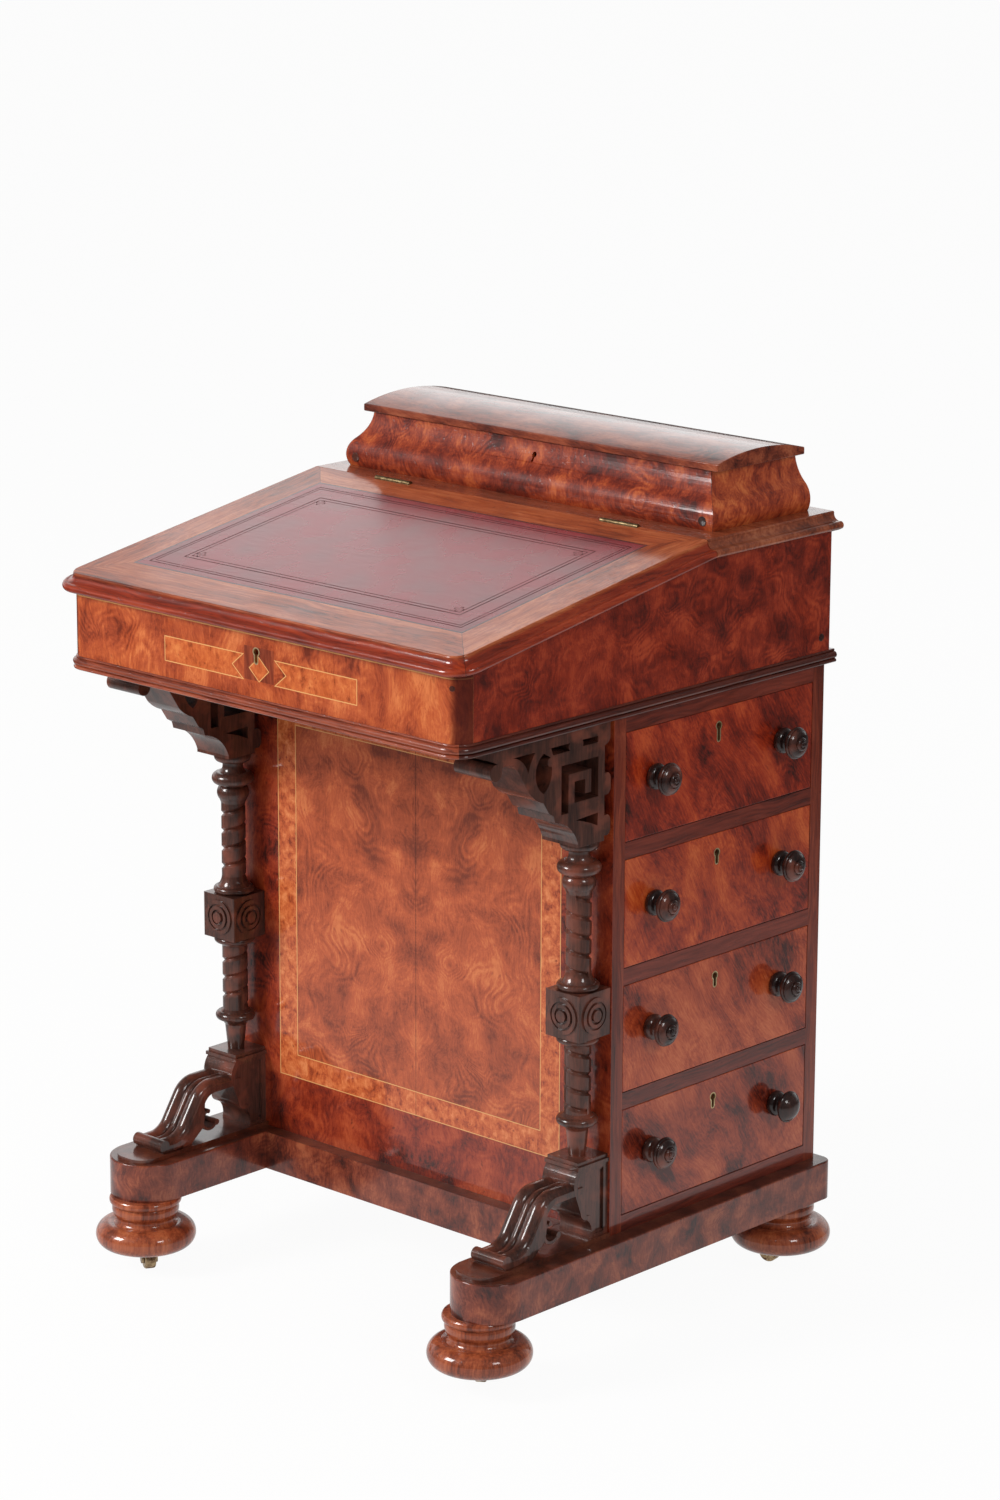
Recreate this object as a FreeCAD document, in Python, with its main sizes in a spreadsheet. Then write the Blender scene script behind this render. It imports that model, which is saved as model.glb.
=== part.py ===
"""Davenport desk: slope box on a pedestal of side drawers, held in front by turned columns.

Millimetres.  +Z is up, the writing side faces -Y and the drawers open towards +X.
The origin is on the floor, under the middle of the desk's bounding box.
"""
import FreeCAD, Part
import math
import os

import Sketcher

Vector = FreeCAD.Vector
Constraint = Sketcher.Constraint

document = FreeCAD.newDocument("DavenportDesk")

# ---------------------------------------------------------------- driving dimensions
# Each size is written once here.  Heights are of the piece itself; places are worked out.
SIZES = {
    # plinth
    "bun_height": 50.5,            # bun foot with its collar
    "bun_radius": 48.5,
    "collar_radius": 35,
    "foot_inset": 42,              # outer face of an arm to the centre of a foot
    "front_foot_setback": 28,      # front end of an arm to the centre of a front foot
    "rear_foot_setback": 27.6,     # rear end of an arm to the centre of a rear foot
    "plinth_height": 38,
    "plinth_side_lip": 17,         # how far the plinth shows beside the pedestal
    "arm_width": 74,
    "arm_reach": 175,              # how far an arm runs forward of the pedestal
    "arm_outer_radius": 37,        # front corner on the outside; the inner corner takes the rest
    "arm_rear_radius": 12,
    "arm_arris": 1.5,
    "platform_reach": 15.5,        # how far the platform shows in front of the pedestal
    "plinth_rear_lip": 10,         # how far the plinth shows behind the pedestal
    "sole_thickness": 4,
    "sole_half_width": 23,
    "sole_front_lip": 6,           # front end of an arm to the front end of its sole
    "sole_radius": 18,
    # casters
    "caster_plate_thickness": 1.6,
    "caster_plate_edge_gap": 1.5,  # plate to the wall of its recess
    "caster_sweep_gap": 4,         # swinging wheel to the wall of the recess
    "caster_plate_gap": 0.7,       # plate to the bridge of the fork
    "caster_wheel_gap": 0.7,       # bridge of the fork to the wheel
    "caster_side_gap": 0.4,        # wheel to each cheek of the fork
    "caster_recess_depth": 3.5,
    "caster_socket_radius": 6,
    "caster_socket_depth": 24,
    "caster_stem_radius": 3,
    "caster_trail": 11,
    "caster_wheel_radius": 10,
    "caster_wheel_width": 11,
    "caster_tread_round": 2.2,
    "caster_axle_radius": 1.5,
    "caster_cheek": 1.9,
    "caster_bridge": 2,
    "caster_boss_radius": 4.5,
    # pedestal
    "pedestal_front": -56,         # front face of the pedestal
    "pedestal_half_width": 247,
    "pedestal_depth": 297,
    "board": 16,                   # thickness of the pedestal's boards and rails
    "drawer_height": 103,
    # drawers
    "reveal": 0.6,                 # gap all round a drawer front
    "tray_side": 8,
    "tray_bottom": 5,
    "tray_top_gap": 6.4,
    "tray_rear_gap": 6,
    "tray_side_gap": 1,
    "dummy_thickness": 3,
    "handle_shift": 3.5,           # middle of the side to the line of the handles, towards the front
    "front_arris": 0.6,
    "knob_spacing": 180,
    "knob_rise": 4,                # knobs above the middle of a drawer front
    "knob_radius": 15.3,
    "knob_length": 28,
    "keyhole_drop": 23,            # top of a drawer front to its keyhole
    "keyhole_half_height": 8,
    "top_keyhole_half_height": 10,
    "keyhole_eye_radius": 4.4,
    "keyhole_tail_half_width": 2.8,
    "keyhole_rim": 1.2,
    "escutcheon_depth": 3,
    # columns, scroll feet and brackets
    "column_inset": 22,            # side face of the pedestal to a column's axis
    "cube_half": 21,
    "cube_height": 44,
    "cube_base": 306,              # floor to the underside of the cube
    "shaft_radius": 11.8,
    "lower_shaft_radius": 12.4,
    "spiral_pitch": 17.5,
    "spiral_depth": 2.3,
    "spiral_half_width": 2.7,
    "neck_radius": 10,
    "ring_inset": 1,               # faces of the cube to the column's widest rings
    "cube_arris": 0.8,
    "scroll_half_width": 19.5,
    "toe_setback": 31.4,           # front end of a sole to the toe of its scroll foot
    "scroll_height": 76.5,         # sole to the top of a scroll foot's cap
    "cap_step": 3.5,
    "bracket_reach": 158,
    "bracket_height": 111,
    "bracket_half_width": 22,
    # slope box
    "box_side_lip": 3,             # how far the box stands out beside the pedestal
    "box_rear_lip": 3,
    "box_reach": 205,              # how far the box runs forward of the pedestal
    "box_wall": 18,
    "box_corner": 17.5,
    "moulding_height": 12.5,
    "moulding_projection": 4.4,
    "moulding_rear_lip": 6.5,      # how far the bottom board runs past the back of the box
    "board_rear_lip": 1.5,         # how far the fixed board runs past the back of the box
    "slope_front_height": 91,      # underside of the box to the front edge of the slope
    "slope_rise": 54,
    "slope_run": 325,
    # writing lid and fixed board
    "lid_thickness": 19,
    "lid_projection": 13,
    "lid_nose": 7.2,               # height of the nose of the lid's moulded edge
    "lid_undercut": 3.4,           # how far the underside of the nose rises above the lid's underside
    "lid_corner": 14,
    "lid_gap": 0.3,
    "leather_side_margin": 40,
    "leather_front_margin": 46,
    "leather_rear_margin": 35,
    "leather_thickness": 1,
    # hinges
    "hinge_length": 46,
    "hinge_gap": 0.4,
    "leaf_thickness": 1.2,
    "leaf_depth": 13,
    "pen_leaf_depth": 7.5,
    "knuckle_radius": 2.4,
    "pin_radius": 1,
    "pin_clearance": 0.05,
    "slope_hinge_line": 145,
    "pen_hinge_line": 130,
    # stationery box
    "pen_side_setback": 17,        # side of the slope box to the foot of the stationery box
    "pen_setback": 28,             # hinge line of the slope to the foot of the box
    "pen_rear_setback": 14,
    "pen_height": 52,
    "pen_wall": 10,
    "pen_ogee": 17.5,              # how far the ogee draws in from foot to rim
    "pen_floor": 6,
    "pen_divider": 5,
    "pen_divider_height": 28,
    "pen_divider_line": 82,
    "pen_lid_overhang": 11,
    "pen_lid_front_overhang": 3.5,
    "pen_fascia": 7,
    "pen_dome": 8,
    "pen_arris": 1.2,
}

sheet = document.addObject("Spreadsheet::Sheet", "Sizes")
for row, (alias, number) in enumerate(SIZES.items(), start=1):
    sheet.set(f"A{row}", alias)
    sheet.set(f"B{row}", str(number))
    sheet.setAlias(f"B{row}", alias)
document.recompute()


# ---------------------------------------------------------------- lengths tied to the sheet
class Length:
    """A number of millimetres with the expression that gives it from the sheet."""

    def __init__(self, value, formula):
        self.value = value
        self.formula = formula

    def __add__(self, other):
        other = length(other)
        return Length(self.value + other.value, f"({self.formula} + {other.formula})")

    def __radd__(self, other):
        return length(other) + self

    def __sub__(self, other):
        other = length(other)
        return Length(self.value - other.value, f"({self.formula} - {other.formula})")

    def __rsub__(self, other):
        return length(other) - self

    def __mul__(self, factor):
        factor = length(factor)
        return Length(self.value * factor.value, f"({self.formula} * {factor.formula})")

    __rmul__ = __mul__

    def __truediv__(self, divisor):
        divisor = length(divisor)
        return Length(self.value / divisor.value, f"({self.formula} / {divisor.formula})")

    def __neg__(self):
        return self * -1


def length(quantity):
    """The quantity as a Length; a plain number becomes a constant one."""
    if isinstance(quantity, Length):
        return quantity
    return Length(float(quantity), f"({float(quantity):.6f})")


def hypotenuse(rise, run):
    """The long side of a right triangle."""
    formula = f"sqrt({rise.formula} * {rise.formula} + {run.formula} * {run.formula})"
    return Length(math.hypot(rise.value, run.value), formula)


def leg(hypotenuse_length, other_leg):
    """The remaining side of a right triangle."""
    formula = (
        f"sqrt({hypotenuse_length.formula} * {hypotenuse_length.formula}"
        f" - {other_leg.formula} * {other_leg.formula})"
    )
    return Length(math.sqrt(hypotenuse_length.value ** 2 - other_leg.value ** 2), formula)


class Namespace:
    """Attribute access to a dictionary of lengths."""

    def __init__(self, lengths):
        self.__dict__.update(lengths)


s = Namespace({alias: Length(float(number), f"Sizes.{alias}") for alias, number in SIZES.items()})


def bind(item, path, quantity):
    """Drive one property of a document object from the sheet."""
    item.setExpression(path, length(quantity).formula)


# ---------------------------------------------------------------- levels and planes worked out from the sizes
caster_stack = 2 * s.caster_wheel_radius + s.caster_wheel_gap + s.caster_bridge
recess_ceiling = caster_stack + s.caster_plate_gap + s.caster_plate_thickness
bun_base = recess_ceiling - s.caster_recess_depth
plinth_base = bun_base + s.bun_height
plinth_top = plinth_base + s.plinth_height
sole_top = plinth_top + s.sole_thickness
pedestal_top = plinth_top + 5 * s.board + 4 * s.drawer_height
pedestal_back = s.pedestal_front + s.pedestal_depth
pedestal_inner = s.pedestal_half_width - s.board
plinth_half = s.pedestal_half_width + s.plinth_side_lip
box_half = s.pedestal_half_width + s.box_side_lip
column_line = s.pedestal_half_width - s.column_inset
plinth_front = s.pedestal_front - s.arm_reach
plinth_back = pedestal_back + s.plinth_rear_lip
sole_front = plinth_front + s.sole_front_lip
arm_inner = plinth_half - s.arm_width
foot_line = plinth_half - s.foot_inset
front_foot = plinth_front + s.front_foot_setback
rear_foot = plinth_back - s.rear_foot_setback

box_base = pedestal_top + s.moulding_height
box_back = pedestal_back + s.box_rear_lip
box_front = s.pedestal_front - s.box_reach
slope_front = pedestal_top + s.slope_front_height
top_level = slope_front + s.slope_rise
hinge_line = box_front + s.slope_run
slope_length = hypotenuse(s.slope_rise, s.slope_run)
leather_half = box_half - s.leather_side_margin
board_underside = top_level - s.lid_thickness

pen_half = box_half - s.pen_side_setback
pen_front = hinge_line + s.pen_setback
pen_back = box_back - s.pen_rear_setback
pen_rim = top_level + s.pen_height

column_depth = s.pedestal_front - s.cube_half
ring_radius = s.cube_half - s.ring_inset
cap_top = sole_top + s.scroll_height
bracket_base = pedestal_top - s.bracket_height


def drawer_floor(number):
    """Height of the board that drawer 1 (top) to 4 (bottom) runs on."""
    return pedestal_top - number * (s.board + s.drawer_height)


# ---------------------------------------------------------------- sketches and features
LAST_STEP = -1                     # geometry index of a sketch's own axes and origin
START = 1
CENTRE = 3
ORIGIN = 1


class Through:
    """A point that the arc between its two neighbours in an outline passes through."""

    def __init__(self, across, up):
        self.across = length(across)
        self.up = length(up)


class Circle:
    """A full circle in a sketch."""

    def __init__(self, across, up, radius):
        self.across = length(across)
        self.up = length(up)
        self.radius = length(radius)


def place_point(sketch, geometry, position, across, up):
    """Tie one point of a sketch to the sheet by its two coordinates."""
    for kind, quantity in (("DistanceX", across), ("DistanceY", up)):
        constraint = Constraint(kind, LAST_STEP, ORIGIN, geometry, position, quantity.value)
        index = sketch.addConstraint(constraint)
        sketch.setExpression(f"Constraints[{index}]", quantity.formula)


def draw_circle(sketch, circle):
    centre = Vector(circle.across.value, circle.up.value, 0)
    geometry = sketch.addGeometry(Part.Circle(centre, Vector(0, 0, 1), circle.radius.value))
    place_point(sketch, geometry, CENTRE, circle.across, circle.up)
    index = sketch.addConstraint(Constraint("Radius", geometry, circle.radius.value))
    sketch.setExpression(f"Constraints[{index}]", circle.radius.formula)


def draw_edge(sketch, begin, finish, middle=None):
    """A line, or an arc through the middle point; returns the geometry and its end positions."""
    first = Vector(begin[0].value, begin[1].value, 0)
    last = Vector(finish[0].value, finish[1].value, 0)
    if middle is None:
        return sketch.addGeometry(Part.LineSegment(first, last)), (1, 2)
    halfway = Vector(middle.across.value, middle.up.value, 0)
    geometry = sketch.addGeometry(Part.Arc(first, halfway, last))
    marker = sketch.addGeometry(Part.Point(halfway), True)
    sketch.addConstraint(Constraint("PointOnObject", marker, 1, geometry))
    place_point(sketch, marker, START, middle.across, middle.up)
    if (sketch.getPoint(geometry, 1) - first).Length > (sketch.getPoint(geometry, 2) - first).Length:
        return geometry, (2, 1)
    return geometry, (1, 2)


def draw_outline(sketch, outline, closed=True):
    """Lines and three-point arcs from vertex to vertex, every vertex tied to the sheet."""
    corners = []
    middles = {}
    for item in outline:
        if isinstance(item, Through):
            middles[len(corners) - 1] = item
        else:
            corners.append((length(item[0]), length(item[1])))
    count = len(corners) if closed else len(corners) - 1
    edges = []
    for number in range(count):
        begin = corners[number]
        finish = corners[(number + 1) % len(corners)]
        edges.append(draw_edge(sketch, begin, finish, middles.get(number)))
    for number in range(1 if not closed else 0, count):
        before, ends_before = edges[number - 1]
        after, ends_after = edges[number]
        sketch.addConstraint(Constraint("Coincident", before, ends_before[1], after, ends_after[0]))
    for (geometry, ends), corner in zip(edges, corners):
        place_point(sketch, geometry, ends[0], *corner)
    if not closed:
        geometry, ends = edges[-1]
        place_point(sketch, geometry, ends[1], *corners[-1])


def new_body(label):
    body = document.addObject("PartDesign::Body", label)
    body.Label = label
    return body


def origin_feature(body, role):
    for feature in body.Origin.OriginFeatures:
        if feature.Role == role:
            return feature
    raise ValueError(role)


def new_sketch(body, plane, loops, offset=0, closed=True):
    """A sketch on one of the body's own planes, moved along the plane's normal."""
    sketch = body.newObject("Sketcher::SketchObject", body.Label + "_sketch")
    sketch.AttachmentSupport = [(origin_feature(body, plane + "_Plane"), "")]
    sketch.MapMode = "FlatFace"
    bind(sketch, "AttachmentOffset.Base.z", offset)
    for loop in loops:
        if isinstance(loop, Circle):
            draw_circle(sketch, loop)
        else:
            draw_outline(sketch, loop, closed)
    return sketch


def pad(body, plane, loops, depth, offset=0, centred=False):
    """Material from a sketch, along the plane's normal or to both sides of it."""
    sketch = new_sketch(body, plane, loops, offset)
    feature = body.newObject("PartDesign::Pad", body.Label + "_pad")
    feature.Profile = sketch
    feature.Midplane = centred
    bind(feature, "Length", depth)
    return feature


def pocket(body, plane, loops, depth, offset=0, centred=False, reversed_cut=False):
    """Material removed by a sketch, against the plane's normal unless reversed."""
    sketch = new_sketch(body, plane, loops, offset)
    feature = body.newObject("PartDesign::Pocket", body.Label + "_pocket")
    feature.Profile = sketch
    feature.Midplane = centred
    feature.Reversed = reversed_cut
    bind(feature, "Length", depth)
    return feature


def turn(body, outline, plane="XZ", axis="V_Axis", offset=0):
    """A turned shape: an outline revolved about one of its sketch's axes."""
    sketch = new_sketch(body, plane, [outline], offset)
    feature = body.newObject("PartDesign::Revolution", body.Label + "_turning")
    feature.Profile = sketch
    feature.ReferenceAxis = (sketch, [axis])
    feature.Angle = 360
    return feature


def moulding(body, section, section_plane, section_offset, path, path_plane, path_offset, runs):
    """A section carried along an open run of lines and tangent arcs."""
    spine = new_sketch(body, path_plane, [path], path_offset, closed=False)
    profile = new_sketch(body, section_plane, [section], section_offset)
    feature = body.newObject("PartDesign::AdditivePipe", body.Label + "_moulding")
    feature.Profile = profile
    feature.Spine = (spine, [f"Edge{number}" for number in range(1, runs + 1)])
    return feature


def round_edges(body, radius, chosen):
    """Round the edges of the body so far that the test picks."""
    document.recompute()
    base = body.Tip
    names = []
    for number, edge in enumerate(base.Shape.Edges, start=1):
        if chosen(edge):
            names.append(f"Edge{number}")
    feature = body.newObject("PartDesign::Fillet", body.Label + "_rounding")
    feature.Base = (base, names)
    bind(feature, "Radius", radius)
    return feature


def rectangle(left, right, low, high):
    return [(left, low), (right, low), (right, high), (left, high)]


def move(item, x=0, y=0, z=0):
    """Set down a finished piece."""
    bind(item, "Placement.Base.x", x)
    bind(item, "Placement.Base.y", y)
    bind(item, "Placement.Base.z", z)


def block(label, x, y, z):
    """A plain board between pairs of planes."""
    box = document.addObject("Part::Box", label)
    box.Label = label
    for side, (low, high) in zip(("Length", "Width", "Height"), (x, y, z)):
        bind(box, side, length(high) - low)
    move(box, x[0], y[0], z[0])
    return box


def rod(label, radius, low, high, centre, along="z"):
    """A cylinder along X or Z."""
    cylinder = document.addObject("Part::Cylinder", label)
    bind(cylinder, "Radius", radius)
    bind(cylinder, "Height", length(high) - low)
    if along == "x":
        cylinder.Placement.Rotation = FreeCAD.Rotation(Vector(0, 1, 0), 90)
        move(cylinder, low, centre[0], centre[1])
    else:
        move(cylinder, centre[0], centre[1], low)
    return cylinder


def joined(label, members):
    fusion = document.addObject("Part::MultiFuse", label)
    fusion.Shapes = members
    return fusion


def less(label, base, tool):
    difference = document.addObject("Part::Cut", label)
    difference.Base = base
    difference.Tool = tool
    return difference


def together(label, members):
    """Separate solids that are kept as one sub-part."""
    compound = document.addObject("Part::Compound", label)
    compound.Label = label
    compound.Links = members
    return compound


pieces = []
SIDES = (("left", -1), ("right", 1))
CORNERS = (
    ("front_left", -foot_line, front_foot, -30),
    ("front_right", foot_line, front_foot, 126),
    ("rear_left", -foot_line, rear_foot, 20),
    ("rear_right", foot_line, rear_foot, 189),
)


# ---------------------------------------------------------------- plinth
def base_arm(name, side):
    """Sledge arm with rounded ends and the planted sole that the scroll foot stands on."""
    body = new_body(f"base_arm_{name}")
    inner = side * arm_inner
    outer = side * plinth_half
    big = s.arm_outer_radius
    small = s.arm_width - big
    rear = s.arm_rear_radius
    bend = 1 - math.sqrt(0.5)
    outline = [
        (inner, plinth_back),
        (inner, plinth_front + small),
        Through(inner + side * small * bend, plinth_front + small * bend),
        (inner + side * small, plinth_front),
        Through(outer - side * big * bend, plinth_front + big * bend),
        (outer, plinth_front + big),
        (outer, plinth_back - rear),
        Through(outer - side * rear * bend, plinth_back - rear * bend),
        (outer - side * rear, plinth_back),
    ]
    pad(body, "XY", [outline], s.plinth_height, plinth_base)
    top = plinth_top.value
    joint = abs(inner.value)
    round_edges(
        body,
        s.arm_arris,
        lambda edge: edge.BoundBox.ZMin > top - 0.01
        and (edge.BoundBox.XLength > 1 or abs(abs(edge.BoundBox.XMin) - joint) > 1)
        and edge.BoundBox.YMin < plinth_back.value - 1,
    )
    low = side * (column_line - s.sole_half_width)
    high = side * (column_line + s.sole_half_width)
    corner = s.sole_radius
    sole = [
        (low, s.pedestal_front),
        (low, sole_front + corner),
        Through(low + side * corner * bend, sole_front + corner * bend),
        (low + side * corner, sole_front),
        (high - side * corner, sole_front),
        Through(high - side * corner * bend, sole_front + corner * bend),
        (high, sole_front + corner),
        (high, s.pedestal_front),
    ]
    pad(body, "XY", [sole], s.sole_thickness, plinth_top)
    return body


def bun_foot(name, x, y):
    """Turned bun foot: two beads of the collar, a cove, the bun and the recess for its caster."""
    body = new_body(f"bun_foot_{name}")
    top = s.bun_height
    collar = s.collar_radius
    recess = caster_recess_radius
    socket = s.caster_socket_radius
    depth = s.caster_recess_depth
    outline = [
        (0, top),
        (collar - 1.5, top),
        Through(collar, top - 3.5),
        (collar - 1.5, top - 7),
        (collar - 4, top - 7),
        Through(collar - 2.5, top - 12.5),
        (collar - 4, top - 18),
        (collar - 6, top - 18.5),
        Through(collar - 7, top - 22.5),
        (collar - 4, top - 27),
        Through(s.bun_radius, (top - 27) / 2),
        (s.bun_radius - 16, 0),
        (recess, 0),
        (recess, depth),
        (socket, depth),
        (socket, depth + s.caster_socket_depth),
        (0, depth + s.caster_socket_depth),
    ]
    turn(body, outline)
    move(body, x, y, bun_base)
    return body


caster_recess_radius = s.caster_trail + s.caster_wheel_radius + s.caster_sweep_gap
for name, side in SIDES:
    pieces.append(base_arm(name, side))
pieces.append(block(
    "base_platform",
    (-arm_inner, arm_inner),
    (s.pedestal_front - s.platform_reach, plinth_back),
    (plinth_base, plinth_top),
))
for name, x, y, heading in CORNERS:
    pieces.append(bun_foot(name, x, y))


# ---------------------------------------------------------------- casters
plate_underside = recess_ceiling - s.caster_plate_thickness
bridge_top = plate_underside - s.caster_plate_gap
bridge_underside = bridge_top - s.caster_bridge
caster_slot = s.caster_wheel_width + 2 * s.caster_side_gap
caster_fork_width = caster_slot + 2 * s.caster_cheek


def caster_plate(name, x, y):
    """Brass plate in the recess of the foot, with the socket tube for the caster's stem."""
    socket_top = recess_ceiling + s.caster_socket_depth
    radius = caster_recess_radius - s.caster_plate_edge_gap
    disc = rod(f"plate_disc_{name}", radius, plate_underside, recess_ceiling, (x, y))
    tube = rod(f"plate_tube_{name}", s.caster_socket_radius, plate_underside, socket_top, (x, y))
    bore = rod(f"plate_bore_{name}", s.caster_stem_radius + s.pin_clearance, plate_underside,
               socket_top - 1, (x, y))
    return less(f"caster_plate_{name}", joined(f"plate_whole_{name}", [disc, tube]), bore)


def caster_fork(name, x, y, heading):
    """Stem, bridge and two cheeks with their riveted axle, trailing along the heading."""
    body = new_body(f"caster_fork_{name}")
    trail = s.caster_trail
    hub = s.caster_wheel_radius
    boss = s.caster_boss_radius
    cheek = [
        (-8, bridge_top),
        (-8, bridge_underside),
        (trail - boss - 2, bridge_underside),
        (trail - boss, hub),
        Through(trail, hub - boss),
        (trail + boss, hub),
        (trail + boss, bridge_underside),
        (trail + boss, bridge_top),
    ]
    pad(body, "XZ", [cheek], caster_fork_width, centred=True)
    slot = rectangle(-20, trail + 20, -1, bridge_underside)
    pocket(body, "XZ", [slot], caster_slot, centred=True)
    pad(body, "XZ", [Circle(trail, hub, s.caster_axle_radius)], caster_fork_width, centred=True)
    stem_length = s.caster_socket_depth - 3
    pad(body, "XY", [Circle(0, 0, s.caster_stem_radius)], stem_length, bridge_top)
    body.Placement.Rotation = FreeCAD.Rotation(Vector(0, 0, 1), heading)
    move(body, x, y)
    return body


def caster_wheel(name, x, y, heading):
    """Brass wheel with a rounded tread, running on the axle of its fork."""
    body = new_body(f"caster_wheel_{name}")
    centre = (s.caster_trail, s.caster_wheel_radius)
    tyre = Circle(*centre, s.caster_wheel_radius)
    bore = Circle(*centre, s.caster_axle_radius + s.pin_clearance)
    pad(body, "XZ", [tyre, bore], s.caster_wheel_width, centred=True)
    rim = s.caster_wheel_radius.value
    round_edges(body, s.caster_tread_round, lambda edge: abs(edge.BoundBox.ZLength - 2 * rim) < 0.1)
    body.Placement.Rotation = FreeCAD.Rotation(Vector(0, 0, 1), heading)
    move(body, x, y)
    return body


pieces.append(together("caster_plates", [caster_plate(name, x, y) for name, x, y, heading in CORNERS]))
for name, x, y, heading in CORNERS:
    pieces.append(caster_fork(name, x, y, heading))
    pieces.append(caster_wheel(name, x, y, heading))


# ---------------------------------------------------------------- pedestal
inside_front = s.pedestal_front + s.board
inside_back = pedestal_back - s.board
handle_y = s.pedestal_front + s.pedestal_depth / 2 - s.handle_shift


def keyhole(across, up, half_height, inset=0):
    """Pear-shaped outline: a round eye over a narrower round-ended tail."""
    eye = s.keyhole_eye_radius - inset
    tail = s.keyhole_tail_half_width - inset
    reach = half_height - inset
    shoulder = up + reach - eye - leg(eye, tail)
    return [
        (across - tail, shoulder),
        (across - tail, up - reach + tail),
        Through(across, up - reach),
        (across + tail, up - reach + tail),
        (across + tail, shoulder),
        Through(across, up + reach),
    ]


def drawer_keyhole(number):
    """Half the height of a drawer's keyhole; the top drawer has a taller one."""
    return s.top_keyhole_half_height if number == 1 else s.keyhole_half_height


def drawer_front_span(number):
    """Bottom and top of a drawer front inside its reveal."""
    floor = drawer_floor(number)
    return floor + s.reveal, floor + s.drawer_height - s.reveal


def keyhole_height(number):
    return drawer_floor(number) + s.drawer_height - s.keyhole_drop


def pedestal_left_panel():
    """Side opposite the drawers, sunk to take the four dummy fronts."""
    body = new_body("pedestal_left_panel")
    outline = rectangle(inside_front, inside_back, plinth_top, pedestal_top)
    pad(body, "YZ", [outline], s.board, -s.pedestal_half_width)
    sinkings = []
    for number in range(1, 5):
        floor = drawer_floor(number)
        sinkings.append(rectangle(inside_front - 1, inside_back + 1, floor, floor + s.drawer_height))
    pocket(body, "YZ", sinkings, s.dummy_thickness, -s.pedestal_half_width, reversed_cut=True)
    return body


pieces.append(block(
    "pedestal_front_panel",
    (-s.pedestal_half_width, s.pedestal_half_width),
    (s.pedestal_front, inside_front),
    (plinth_top, pedestal_top),
))
pieces.append(block(
    "pedestal_back_panel",
    (-s.pedestal_half_width, s.pedestal_half_width),
    (inside_back, pedestal_back),
    (plinth_top, pedestal_top),
))
pieces.append(pedestal_left_panel())

shelves = []
for number in range(5):
    shelf_top = pedestal_top - number * (s.board + s.drawer_height)
    shelves.append(block(
        f"shelf_{number}",
        (-pedestal_inner, s.pedestal_half_width),
        (inside_front, inside_back),
        (shelf_top - s.board, shelf_top),
    ))
pieces.append(together("pedestal_boards", shelves))


# ---------------------------------------------------------------- drawers and dummy fronts
def knob(label, side, y, z, plain=False):
    """Turned knob: bulbous rose, neck and broad head, its face ringed round a boss or plainly domed."""
    body = new_body(label)
    head = s.knob_radius
    reach = s.knob_length
    stalk = [
        (0, 0),
        (0, head - 5),
        Through(3.5, head - 3),
        (7.5, head - 5),
        (8.5, head - 7),
        Through(11, head - 8.3),
        (reach - 14.5, head - 6.5),
        (reach - 12, head - 2.2),
        (reach - 11.6, head - 1.2),
        Through(reach - 9.7, head),
        (reach - 8, head - 1),
    ]
    ringed = [
        (reach - 7.7, head - 1.7),
        Through(reach - 6.6, head - 1.3),
        (reach - 5.8, head - 2.4),
        Through(reach - 3.9, head - 5.2),
        (reach - 3.4, head - 7.6),
        (reach - 4.1, head - 8.1),
        (reach - 3.9, head - 8.7),
        Through(reach - 1.6, head - 9.3),
        (reach - 0.9, head - 10.8),
        (reach - 1.6, head - 11.5),
        (reach - 1.6, head - 12.3),
        Through(reach - 0.3, head - 13.1),
        (reach, 1),
        (reach, 0),
    ]
    domed = [
        (reach - 7.7, head - 1.4),
        Through(reach - 3.2, head - 6.2),
        (reach - 1, 1),
        (reach - 1, 0),
    ]
    outline = [
        Through(side * item.across, item.up) if isinstance(item, Through) else (side * item[0], item[1])
        for item in stalk + (domed if plain else ringed)
    ]
    turn(body, outline, axis="H_Axis")
    move(body, side * s.pedestal_half_width, y, z)
    return body


def escutcheon(label, plane, offset, across, up, half_height):
    """Brass thread escutcheon: a pear-shaped rim let in flush around the keyhole."""
    body = new_body(label)
    rim = keyhole(across, up, half_height)
    hole = keyhole(across, up, half_height, s.keyhole_rim)
    pad(body, plane, [rim, hole], s.escutcheon_depth, offset)
    return body


def drawer_front(number):
    """Drawer front with its keyhole and the letting-in for the escutcheon."""
    body = new_body(f"drawer_{number}_front")
    low, high = drawer_front_span(number)
    face = rectangle(inside_front + s.reveal, inside_back - s.reveal, low, high)
    pad(body, "YZ", [face], s.board, pedestal_inner)
    outside = s.pedestal_half_width.value
    round_edges(body, s.front_arris, lambda edge: edge.BoundBox.XMin > outside - 0.01)
    eye = keyhole_height(number)
    rim = keyhole(handle_y, eye, drawer_keyhole(number))
    pocket(body, "YZ", [rim], s.escutcheon_depth, s.pedestal_half_width)
    hole = keyhole(handle_y, eye, drawer_keyhole(number), s.keyhole_rim)
    pocket(body, "YZ", [hole], s.board, s.pedestal_half_width)
    return body


def drawer_tray(number):
    """Two sides, a back and a bottom, open at the front where the drawer front closes it."""
    body = new_body(f"drawer_{number}_tray")
    base = drawer_floor(number) + s.reveal
    front = inside_front + s.tray_side_gap
    back = inside_back - s.tray_side_gap
    rear = -pedestal_inner + s.tray_rear_gap
    tray_height = s.drawer_height - s.reveal - s.tray_top_gap
    pad(body, "XY", [rectangle(rear, pedestal_inner, front, back)], tray_height, base)
    hollow = rectangle(rear + s.tray_side, pedestal_inner + 1, front + s.tray_side, back - s.tray_side)
    pocket(body, "XY", [hollow], tray_height - s.tray_bottom, base + tray_height)
    return body


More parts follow.
